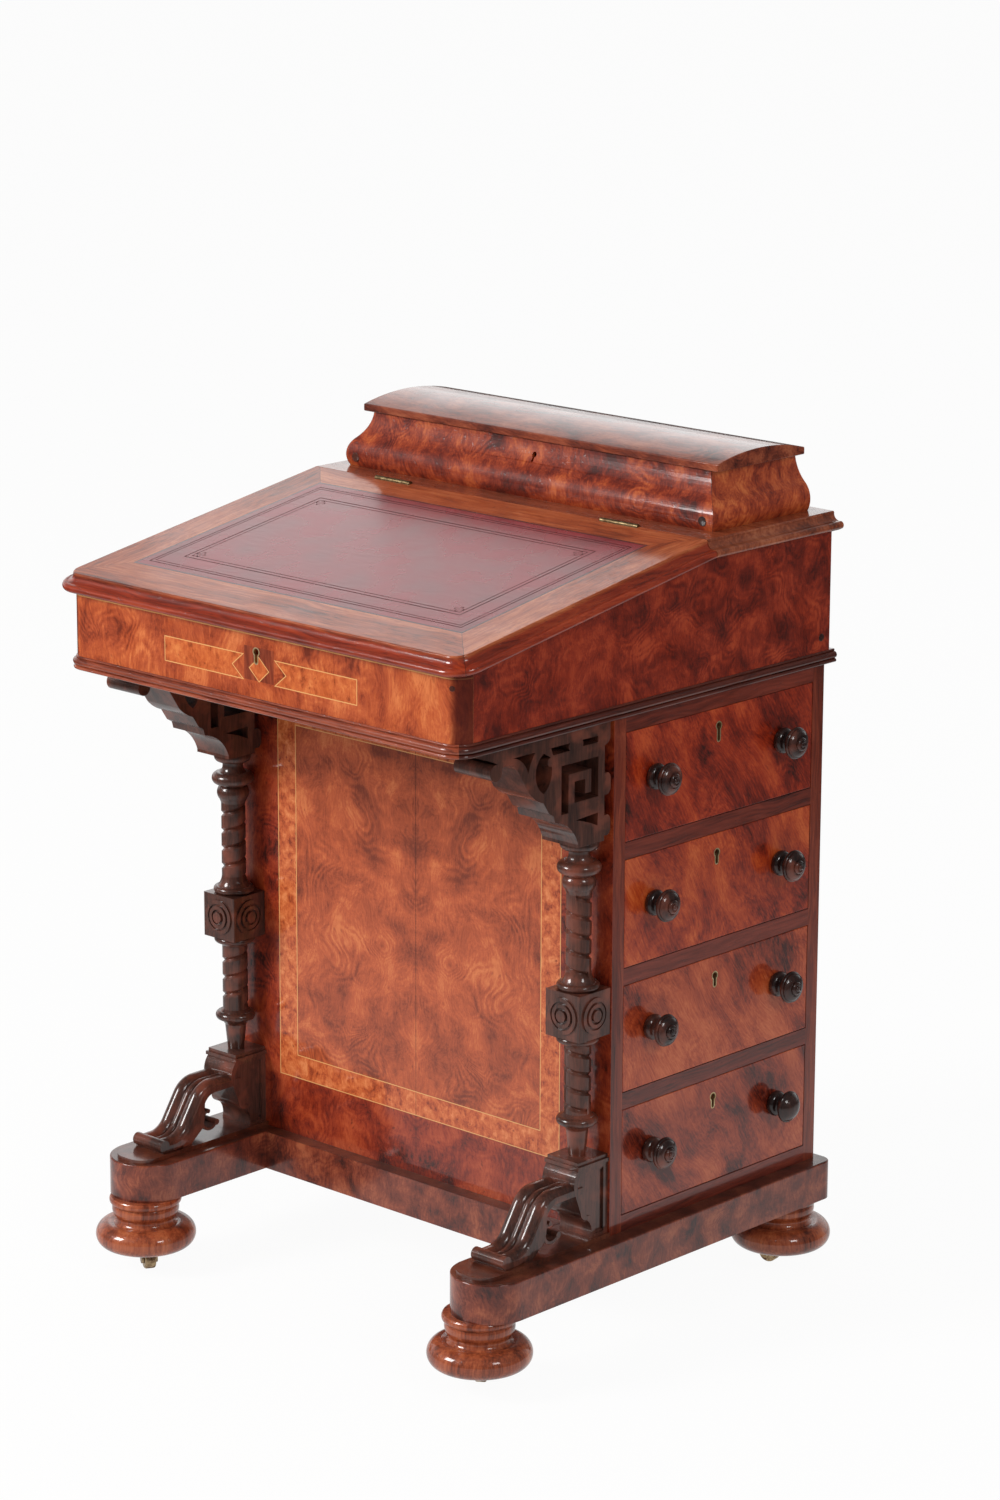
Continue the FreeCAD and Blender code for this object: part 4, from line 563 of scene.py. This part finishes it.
finish, tree = finish_named("walnut_stationery_lid")
figure = burr(tree, placed(tree, turn=(0, 80, 0)),
              ["#3c140c", "#6c2c1a", "#8c4228", "#a65c3c"], 59.0, 22.0, 0.05, 0.2, 2.2)
height = add(tree, "SeparateXYZ", {}, {0: placed(tree)}, "Z")
underside = add(tree, "Math", BELOW, {0: height, 1: LID_UNDERSIDE})
bare = straight(tree, placed(tree, turn=LEVEL), BARE_WOOD, 27.0)
colour = add(tree, "Mix", COLOURS, {0: underside, 6: figure[0], 7: bare[0]}, 2)
polish(tree, colour, figure[1], coat_rough=0.09)
PEN_LID = finish
print("stationery box finishes made")

# %% [markdown]
# ## Plain polished walnut
# Mouldings, rails and the feet are solid walnut, straight-grained and red under the polish, with the
# grain along the longest side of each piece. The half-round moulding has painted shade along its
# sides. The plinth is veneered with burr, and its top is coloured darker.

# %% Plain walnut
MOULDING_MITRE = -11.0  # |x| + y on the mitre of the half-round moulding
PLINTH_TOP = 109.6


def plain_walnut(name, shades, turn, seed, coat_rough=0.14):
    """Straight-grained polished walnut with its grain turned to suit the piece."""
    made, tree = finish_named(name)
    wood = straight(tree, placed(tree, turn=turn), shades, seed)
    polish(tree, wood[0], wood[1], coat_rough=coat_rough)
    return made


STILES = plain_walnut("red_walnut_carcase", RED_STILE, (0, 0, 0), 2.0)
RAILS = plain_walnut("red_walnut_rails", ["#3c120a", "#6a2617", "#843625"], AWAY, 3.0)
TURNED_RED = plain_walnut("turned_red_walnut", ["#4e1e10", "#924426", "#b8663e"], (0, 0, 0), 9.0, 0.05)

finish, tree = finish_named("walnut_moulding")
along_front = straight(tree, placed(tree, turn=LEVEL), ["#5a2010", "#94442a", "#b0603c"], 5.0)
# Painted shade: the moulding's sides get a darker copy of its wood.
side_in_painted_shade = straight(tree, placed(tree, turn=AWAY), ["#2c0d07", "#4e1d12", "#6a2e1e"], 5.0)
point = placed(tree)
x, y = [add(tree, "SeparateXYZ", {}, {0: point}, axis) for axis in "XY"]
mitre = add(tree, "Math", PLUS, {0: y, 1: add(tree, "Math", UNSIGNED, {0: x})})
on_front = add(tree, "Math", BELOW, {0: mitre, 1: MOULDING_MITRE})
colour = add(tree, "Mix", COLOURS, {0: on_front, 6: side_in_painted_shade[0], 7: along_front[0]}, 2)
polish(tree, colour, along_front[1], coat_rough=0.08)
MOULDING = finish

finish, tree = finish_named("burr_walnut_plinth")
figure = burr(tree, placed(tree), ["#300e08", "#602414", "#7e3822", "#9a5234"], 71.0, 26.0, 0.04, 0.4)
minus_z = add(tree, "SeparateXYZ", {}, {0: placed(tree)}, "Z")
minus_z = add(tree, "Math", TIMES, {0: minus_z, 1: -1})
on_top = add(tree, "Math", BELOW, {0: minus_z, 1: -PLINTH_TOP})
# The top is coloured darker than the rest of the plinth.
darker_top = add(tree, "Math", TIMES, {0: on_top, 1: 0.6})
colour = add(tree, "Mix", COLOURS, {0: darker_top, 6: figure[0], 7: linear("#3a2218")}, 2)
polish(tree, colour, figure[1], coat_rough=0.15)
PLINTH = finish
print("plain walnut made")

# %% [markdown]
# ## Dark stained wood
# Columns, brackets, scroll feet and knobs are stained nearly black and waxed. Where hands and
# dusters have rubbed them, the red of the wood comes through in patches.

# %% Dark stained wood
def dark_stained(name, shades, seed, coat_rough):
    """Near-black stained hardwood with a waxed gloss, its grain upright."""
    made, tree = finish_named(name)
    wood = straight(tree, placed(tree), shades, seed, 2.0, 16.0)
    handled = add(tree, "TexNoise", {}, {"Vector": placed(tree), "Scale": 1 / 24, "Detail": 3.0})
    rubbed = add(tree, "MapRange", {}, {"Value": handled, 1: 0.5, 2: 0.72, 3: 0.0, 4: 0.7})
    colour = add(tree, "Mix", COLOURS, {0: rubbed, 6: wood[0], 7: linear("#844432")}, 2)
    polish(tree, colour, wood[1], 0.45, 0.9, coat_rough)
    return made


DARK = dark_stained("ebonised_turned_hardwood", ["#2a1712", "#47281f", "#61372b"], 12.0, 0.07)
KNOBS = dark_stained("ebonised_knobs", ["#180c0a", "#2c1612", "#40231c"], 17.0, 0.05)
print("dark wood made")

# %% [markdown]
# ## Linings
# The drawers and the insides are plain mahogany with only a thin coat of shellac. A drawer's sides
# join its front with dovetails: a wave that runs to and fro down the side gives their spacing, and
# taking off a share of the distance from the front makes them flare.

# %% Linings
FIRST_TOP, STEP = 602, 119  # the top of the first drawer, and from one drawer to the next
TAIL_END, TAIL_STEP = 219, 12.5  # where the front begins, and half the spacing of the dovetails
finish, tree = finish_named("mahogany_lining")
wood = straight(tree, placed(tree, turn=LEVEL), ["#5c2c16", "#8a4c2a", "#a8683e"], 19.0, 2.2, 26.0)
point = placed(tree)
x, z = [add(tree, "SeparateXYZ", {}, {0: point}, axis) for axis in "XZ"]
down = add(tree, "Math", MINUS, {0: FIRST_TOP, 1: z})
down = add(tree, "Math", {"operation": "MODULO"}, {0: down, 1: STEP})
down = add(tree, "Math", PLUS, {0: down, 1: 2.0})
wave = add(tree, "Math", {"operation": "PINGPONG"}, {0: down, 1: TAIL_STEP})
flare = add(tree, "Math", TIMES_PLUS, {0: x, 1: -0.25, 2: 0.25 * TAIL_END - 4.0})
tail = add(tree, "Math", PLUS, {0: wave, 1: flare})
minus_x = add(tree, "Math", TIMES, {0: x, 1: -1})
in_joint = add(tree, "Math", BELOW, {0: minus_x, 1: -TAIL_END})
pins = add(tree, "Math", BELOW, {0: tail, 1: 0.0})
pins = add(tree, "Math", TIMES, {0: in_joint, 1: pins})
pins = add(tree, "Math", TIMES, {0: pins, 1: 0.45})
sloping = add(tree, "Math", AT, {0: tail, 1: 0.0, 2: JOINT / 2})
sloping = add(tree, "Math", TIMES, {0: in_joint, 1: sloping})
upright = add(tree, "Math", AT, {0: x, 1: TAIL_END, 2: JOINT / 2})
cut = add(tree, "Math", LARGER, {0: sloping, 1: upright})
colour = add(tree, "Mix", COLOURS, {0: pins, 6: wood[0], 7: linear("#4a2010")}, 2)
colour = add(tree, "Mix", COLOURS, {0: cut, 6: colour, 7: SEAM}, 2)
polish(tree, colour, wood[1], 0.55, 0.12, 0.3, 0.06)
LINING = finish
print(finish.name)

# %% [markdown]
# ## Writing leather
# A skiver, a thin split of sheepskin, is pasted into the frame, dyed burgundy and waxed. Paste and
# use leave a low cockle and short creases; the hide's own grain is a fine pebble. A heated wheel
# has pressed plain lines round it, a pair close to the edge and a pair further in, and a small
# four-petalled stamp stands inside each corner of the inner pair. The wax is a thin clear coat that
# the hot tools have driven out of the lines. Bearing and distance from a corner draw the petals.

# %% Leather
CORNER_STAMP = 45  # how far in from the corner the petals are pressed
finish, tree = finish_named("blind_tooled_burgundy_skiver")
slope = on_slope(tree)
x, s = [add(tree, "SeparateXYZ", {}, {0: slope}, axis) for axis in "XY"]
edge = from_rectangle(tree, x, s, (0, -leather_middle), (LEATHER_SIDE, half_leather))
pressed = add(tree, "Math", AT, {0: edge, 1: -11.0, 2: 1.1 / 2})
for inset, width in ((-15.0, 0.9), (-34.0, 1.2), (-39.0, 0.9)):
    line = add(tree, "Math", AT, {0: edge, 1: inset, 2: width / 2})
    pressed = add(tree, "Math", LARGER, {0: pressed, 1: line})
from_middle = add(tree, "Math", PLUS, {0: s, 1: leather_middle})
from_corner = []
for value, reach in ((x, LEATHER_SIDE), (from_middle, half_leather)):
    size = add(tree, "Math", UNSIGNED, {0: value})
    from_corner.append(add(tree, "Math", MINUS, {0: size, 1: reach - CORNER_STAMP}))
flat = add(tree, "CombineXYZ", {}, {0: from_corner[0], 1: from_corner[1]})
corner_away = add(tree, "VectorMath", LENGTH, {0: flat}, "Value")
bearing = add(tree, "Math", {"operation": "ARCTAN2"}, {0: from_corner[0], 1: from_corner[1]})
twice = add(tree, "Math", TIMES, {0: bearing, 1: 2.0})
petals = add(tree, "Math", UNSIGNED, {0: add(tree, "Math", {"operation": "COSINE"}, {0: twice})})
petals = add(tree, "Math", TIMES_PLUS, {0: petals, 1: -4.6, 2: corner_away})
outline = add(tree, "Math", AT, {0: petals, 1: 0.6, 2: 1.1 / 2})
pressed = add(tree, "Math", LARGER, {0: pressed, 1: outline})
hide = add(tree, "TexNoise", {}, {"Vector": slope, "Scale": 1 / 45, "Detail": 3.0, "Roughness": 0.45})
colour = add(tree, "ValToRGB", {}, {0: hide}, stops=[
    (0.30, linear("#72121d")), (0.5, linear("#861a26")), (0.70, linear("#92222e"))])
darker = add(tree, "Math", TIMES, {0: pressed, 1: 0.85})
colour = add(tree, "Mix", COLOURS, {0: darker, 6: colour, 7: linear("#200608")}, 2)
# Painted shadow: a dark rim along the leather's edge, where it meets the frame.
rim = add(tree, "MapRange", EASED, {"Value": edge, 1: -3.5, 2: -1.0, 3: 0.0, 4: 0.9})
colour = add(tree, "Mix", COLOURS, {0: rim, 6: colour, 7: linear("#1a0808")}, 2)
pebble = add(tree, "TexVoronoi", {}, {"Vector": slope, "Scale": 1 / 1.3}, "Distance")
wide = add(tree, "VectorMath", TIMES, {0: slope, 1: (1 / 22, 1 / 6, 1 / 6)})
crease = add(tree, "TexNoise", {}, {"Vector": wide, "Scale": 1.0, "Detail": 3.0, "Distortion": 0.3})
height = add(tree, "Math", TIMES, {0: pressed, 1: -0.07})
height = add(tree, "Math", TIMES_PLUS, {0: pebble, 1: -0.012, 2: height})
height = add(tree, "Math", TIMES_PLUS, {0: crease, 1: 0.08, 2: height})
bump = add(tree, "Bump", {}, {"Height": height, "Distance": 0.001, "Strength": 1.0})
worn = add(tree, "MapRange", {}, {"Value": hide, 1: 0.35, 2: 0.65, 3: 0.22, 4: 0.30})
waxed = add(tree, "Math", TIMES_PLUS, {0: pressed, 1: -0.8, 2: 0.8})
rough = add(tree, "Mix", {}, {0: pressed, 2: worn, 3: 0.85})
hide_shader = add(tree, "BsdfPrincipled", {}, {
    "Base Color": colour, "Roughness": rough, "IOR": 1.5, "Normal": bump, "Specular IOR Level": 0.35,
    "Coat Weight": waxed, "Coat Roughness": 0.24, "Coat IOR": 1.5, "Coat Normal": bump})
add(tree, "OutputMaterial", {}, {0: hide_shader})
LEATHER = finish
print(finish.name)

# %% [markdown]
# ## Brass
# Cast and rolled brass that has toned down. The tarnish is a brown film, duller than the metal. The
# casters are half bright, the hinges have gone dull under old polish, and the thin threads round
# the keyholes are kept bright by keys and fingers.

# %% Brass
def toned_brass(name, metal_shade, film_shade, least, most):
    """Brass under a patchy brown film; the roughness rises with the film."""
    made, tree = finish_named(name)
    film = add(tree, "TexNoise", {}, {
        "Vector": placed(tree), "Scale": 1 / 5, "Detail": 4.0, "Roughness": 0.65})
    tarnish = add(tree, "MapRange", {}, {"Value": film, 1: 0.42, 2: 0.64, 3: 0.0, 4: 1.0})
    colour = add(tree, "Mix", COLOURS, {0: tarnish, 6: linear(metal_shade), 7: linear(film_shade)}, 2)
    dull = add(tree, "MapRange", {}, {"Value": tarnish, 1: 0.0, 2: 1.0, 3: least, 4: most})
    metal = add(tree, "BsdfPrincipled", {}, {"Base Color": colour, "Roughness": dull, "Metallic": 1.0})
    add(tree, "OutputMaterial", {}, {0: metal})
    return made


BRASS = toned_brass("toned_brass", "#b59c78", "#6a4c38", 0.32, 0.55)
HINGE_BRASS = toned_brass("dulled_hinge_brass", "#94805e", "#5e4832", 0.42, 0.62)
THREAD_BRASS = toned_brass("key_rubbed_brass", "#f0dcae", "#c8ac7c", 0.42, 0.55)
print("three states of brass")

# %% [markdown]
# ## Dress the parts
# A part keeps its shape and gets its finish in its own material slots.

# %% Dress the parts
corners = ["front_left", "front_right", "rear_left", "rear_right"]
finishes = {
    "pedestal_front_panel": FRONT_PANEL, "box_front": BOX_FRONT, "box_side_left": BOX_SIDES,
    "box_side_right": BOX_SIDES, "box_back": STILES, "lid_board": LID_FRAME, "top_board": TOP_BOARD,
    "lid_leather": LEATHER, "pen_box_walls": PEN_WALLS, "pen_box_lid": PEN_LID, "box_bottom": MOULDING,
    "pedestal_back_panel": STILES, "pedestal_left_panel": STILES, "pedestal_boards": RAILS,
    "base_arm_left": PLINTH, "base_arm_right": PLINTH, "base_platform": PLINTH,
    "dummy_fronts": DRAWERS[2], "dummy_knobs": KNOBS, "pen_box_base": LINING,
}
for number in range(1, 5):
    finishes[f"drawer_{number}_front"] = DRAWERS[number]
    finishes[f"drawer_{number}_tray"] = LINING
    finishes[f"drawer_{number}_knobs"] = KNOBS
    finishes[f"drawer_{number}_escutcheon"] = THREAD_BRASS
for side in ("left", "right"):
    for part in ("scroll_foot", "column", "bracket"):
        finishes[f"{part}_{side}"] = DARK
for corner in corners:
    finishes[f"bun_foot_{corner}"] = TURNED_RED
    finishes[f"caster_fork_{corner}"] = BRASS
    finishes[f"caster_wheel_{corner}"] = BRASS
finishes["caster_plates"] = BRASS
finishes["fixed_escutcheons"] = THREAD_BRASS
for name in ("slope_hinges_fixed", "slope_hinges_moving", "pen_hinges_fixed", "pen_hinges_moving"):
    finishes[name] = HINGE_BRASS

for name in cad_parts:
    shape = bpy.data.objects[name].data
    shape.materials.clear()
    shape.materials.append(finishes[name])
print("dressed", len(finishes), "parts; left over:", [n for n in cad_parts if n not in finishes])

# %% [markdown]
# ## Making small fittings
# Pellets and screws are turned, plates are cut from sheet and filed. `lathe` spins an outline about
# z, `plate` rounds the corners of a sheet and takes off its upper arris, and `gather` puts several
# such forms into one piece that rides a body. `resting_on` finds the surface a fitting sits on by
# shooting a ray at a part; its x is level, its y runs up the surface and its z stands off it.

# %% Helpers for small fittings
def lathe(outline, steps=40):
    """A form turned about z from (radius, height) points in millimetres."""
    form = bmesh.new()
    ring = [form.verts.new((radius / 1000, 0, height / 1000)) for radius, height in outline]
    line = [form.edges.new(pair) for pair in zip(ring, ring[1:])]
    bmesh.ops.spin(form, geom=ring + line, cent=(0, 0, 0), axis=(0, 0, 1), angle=math.tau,
                   steps=steps, use_merge=True)
    bmesh.ops.remove_doubles(form, verts=form.verts, dist=1e-6)
    return form


def plate(width, depth, thick, corner, arris):
    """A sheet of metal on z = 0 with round corners and an eased upper edge, in millimetres."""
    form = bmesh.new()
    size = Matrix.Diagonal((width / 1000, depth / 1000, thick / 1000, 1))
    bmesh.ops.create_cube(form, size=1.0, matrix=Matrix.Translation((0, 0, thick / 2000)) @ size)
    upright = [edge for edge in form.edges
               if abs(edge.verts[0].co.z - edge.verts[1].co.z) > thick / 2000]
    bmesh.ops.bevel(form, geom=upright, offset=corner / 1000, segments=5, profile=0.5,
                    affect="EDGES", material=-1)
    upper = [edge for edge in form.edges
             if min(vert.co.z for vert in edge.verts) > thick / 1000 - 1e-7]
    bmesh.ops.bevel(form, geom=upper, offset=arris / 1000, segments=2, profile=0.5,
                    affect="EDGES", material=-1)
    return form


def half_moon(radius, slot, thick):
    """Half of a slotted screw head, in millimetres."""
    form = bmesh.new()
    start = math.asin(slot / 2 / radius)
    turns = [start + (math.pi - 2 * start) * step / 14 for step in range(15)]
    rim = [form.verts.new((radius * math.cos(turn) / 1000, radius * math.sin(turn) / 1000, 0))
           for turn in turns]
    raised = bmesh.ops.extrude_face_region(form, geom=[form.faces.new(rim)])["geom"]
    top = [item for item in raised if isinstance(item, bmesh.types.BMVert)]
    bmesh.ops.translate(form, verts=top, vec=(0, 0, thick / 1000))
    upper = [edge for edge in form.edges if all(vert in top for vert in edge.verts)]
    bmesh.ops.bevel(form, geom=upper, offset=thick / 2500, segments=2, profile=0.5,
                    affect="EDGES", material=-1)
    return form


def gather(name, placed_forms, finish, body):
    """Joins forms, each at its own place, into one piece that rides a body."""
    whole = bmesh.new()
    for form, place in placed_forms:
        bmesh.ops.transform(form, matrix=place, verts=form.verts)
        bmesh.ops.recalc_face_normals(form, faces=form.faces)
        part = bpy.data.meshes.new(name)
        form.to_mesh(part)
        form.free()
        whole.from_mesh(part)
        bpy.data.meshes.remove(part)
    mesh = bpy.data.meshes.new(name)
    whole.to_mesh(mesh)
    whole.free()
    mesh.materials.append(finish)
    piece = bpy.data.objects.new(name, mesh)
    bpy.context.scene.collection.objects.link(piece)
    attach(piece, body)
    return piece


def resting_on(part, start, heading):
    """Where a ray in millimetres meets a part, as a place whose z is the surface's normal."""
    met, point, normal, _ = bpy.data.objects[part].ray_cast(Vector(start) / 1000, Vector(heading))
    assert met, part
    level = Vector((0, 0, 1)).cross(normal)
    level = level.normalized() if level.length > 0.05 else Vector((1, 0, 0))
    turned = Matrix((level, normal.cross(level), normal)).transposed()
    return Matrix.Translation(point) @ turned.to_4x4()


print("fitting helpers ready")

# %% [markdown]
# ## Pellets
# Screws that hold the stationery box and the slope box from outside are sunk and covered with round
# pellets of dark wood. A pellet is turned, glued in and pared almost flush, so it stands a little
# proud with a soft edge.

# %% Pellets
PELLET = [(0, -2), (4.6, -2), (4.6, 0.25), (4.3, 0.5), (3.2, 0.62), (0, 0.7)]
forms = []
for node, start, heading, size in (
        ("pen_box_walls", (-222, 60, 756), (0, 1, 0), 1.0),
        ("pen_box_walls", (222, 60, 756), (0, 1, 0), 1.0),
        ("box_front", (240, -300, 664), (0, 1, 0), 0.55),
        ("box_side_right", (300, 232, 628), (-1, 0, 0), 0.8)):
    outline = [(radius * size, height) for radius, height in PELLET]
    forms.append((lathe(outline), resting_on(node, start, heading)))
pellets = gather("pellets", forms, KNOBS, "carcase")
print(len(pellets.data.polygons), "faces in the pellets")

# %% [markdown]
# ## Hinge screws
# Each leaf of the two brass hinges is held by three slotted screws, filed flush. The slots don't line
# up, since the screws were only driven home.

# %% Hinge screws
HINGES = (-145, 145)
SPACING = (-16, 0, 16)
SCREW_HEIGHT = 738


def screw(seat, angle):
    """The two halves of a screw head, with the slot turned by so many degrees."""
    halves = [seat @ Matrix.Rotation(math.radians(angle + turn), 4, "Z") for turn in (0, 180)]
    return [(half_moon(2.4, 0.8, 0.12), half) for half in halves]


for name, body, node, facing in (("fixed", "carcase", "slope_hinges_fixed", (0, -1, 0)),
                                 ("moving", "writing_lid", "slope_hinges_moving", (0, 1, 0))):
    upright = Vector(facing).to_track_quat("Z", "Y").to_matrix().to_4x4()
    forms = []
    for count, across in enumerate(hinge + offset for hinge in HINGES for offset in SPACING):
        met = resting_on(node, (across, HINGE_LINE, SCREW_HEIGHT), [-value for value in facing])
        middle = Vector((across / 1000, met.translation.y, SCREW_HEIGHT / 1000))
        forms += screw(Matrix.Translation(middle) @ upright, 37 * count)
    gather(f"hinge_screws_{name}", forms, HINGE_BRASS, body)
print("hinge screws driven")

# %% [markdown]
# ## The slope's lock
# A box lock is let into the back of the front board. Its selvage, the plate along the top edge, and
# the link plate under the lid show when the lid is raised; both are let in almost flush, because the
# lid closes down on them. Four rivets hold the cover of the works.

# %% Slope lock
def riveted(case, height, spread, rivet, steps):
    """Four rivets standing on a lock's case; height and spread are in metres."""
    return [(lathe(rivet, steps), case @ Matrix.Translation((across, up, height)))
            for across in (-spread[0], spread[0]) for up in (-spread[1], spread[1])]


edge = resting_on("box_front", (0, -252, 720), (0, 0, -1))
case = resting_on("box_front", (26, -200, 651), (0, -1, 0))
case.translation.x = 0
under_lid = resting_on("lid_board", (0, -252, 650), (0, 0, 1))
forms = [(plate(66, 12, 0.12, 5.5, 0.05), edge), (plate(58, 38, 9, 3, 1), case)]
forms += riveted(case, 0.009, (0.021, 0.012), [(0, 0), (3, 0), (3, 0.6), (2.4, 1.0), (0, 1.1)], 24)
gather("slope_lock", forms, BRASS, "carcase")
gather("slope_link_plate", [(plate(52, 11, 0.1, 5, 0.04), under_lid)], BRASS, "writing_lid")
print("slope lock fitted")

# %% [markdown]
# ## Drawer locks
# Each drawer has a cut till lock screwed to the back of its front, behind the keyhole.

# %% Drawer locks
RIVET = [(0, 0), (2.4, 0), (2.4, 0.5), (1.8, 0.9), (0, 1.0)]
for number in range(1, 5):
    low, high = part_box(f"drawer_{number}_escutcheon")
    across, height = (low[1] + high[1]) / 2, (low[2] + high[2]) / 2
    beside = (150, across * 1000 + 12, height * 1000 - 3)  # clear of the keyhole
    seat = resting_on(f"drawer_{number}_front", beside, (1, 0, 0))
    seat.translation.y = across
    forms = [(plate(46, 34, 6.5, 2.5, 0.8), seat)]
    forms += riveted(seat, 0.0065, (0.017, 0.011), RIVET, 20)
    gather(f"drawer_{number}_lock", forms, BRASS, f"drawer_{number}")
print("drawer locks fitted")

# %% [markdown]
# ## The stationery box's keyhole
# A keyhole is drilled for the key's round shank and filed down into a slot for its bit. The moulded
# wall is thick here and its part has the hole from behind only, so a copy of the wall is bored
# through from the front. A cut needs a closed skin, so the copy's loose triangles are merged first.

# %% Stationery keyhole
SHANK, BIT, KEYHOLE_HEIGHT, MIDDLE_OF_WALL = 2.7, 1.25, 783.9, 103
wall = bmesh.new()
wall.from_mesh(bpy.data.objects["pen_box_walls"].data)
bmesh.ops.remove_doubles(wall, verts=wall.verts, dist=1e-6)
drill = bmesh.new()
round_hole = Matrix.Translation((0, MIDDLE_OF_WALL / 1000, (KEYHOLE_HEIGHT + 2.0) / 1000))
round_hole = round_hole @ Matrix.Rotation(math.radians(90), 4, "X")
bmesh.ops.create_cone(drill, cap_ends=True, segments=32, radius1=SHANK / 1000, radius2=SHANK / 1000,
                      depth=0.016, matrix=round_hole)
bit_slot = Matrix.Translation((0, MIDDLE_OF_WALL / 1000, (KEYHOLE_HEIGHT - 1.2) / 1000))
bit_slot = bit_slot @ Matrix.Diagonal((2 * BIT / 1000, 0.0158, 0.0068, 1))
bmesh.ops.create_cube(drill, size=1.0, matrix=bit_slot)
solids = []
for name, form in (("pen_box_walls_bored", wall), ("drill", drill)):
    mesh = bpy.data.meshes.new(name)
    form.to_mesh(mesh)
    form.free()
    solids.append(bpy.data.objects.new(name, mesh))
    bpy.context.scene.collection.objects.link(solids[-1])
bored, cutter = solids
bore = bored.modifiers.new("bore", "BOOLEAN")
bore.operation = "DIFFERENCE"
bore.solver = "EXACT"
bore.use_self = True
bore.object = cutter
cut = bored.evaluated_get(bpy.context.evaluated_depsgraph_get())
shape = bpy.data.meshes.new_from_object(cut)
bored.modifiers.clear()
bored.data = shape
bpy.data.objects.remove(cutter)
shape.materials.clear()
shape.materials.append(PEN_WALLS)
shape.set_sharp_from_angle(angle=math.radians(20))
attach(bored, "carcase")
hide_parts("pen_box_walls")
print("faces in the bored wall:", len(shape.polygons))
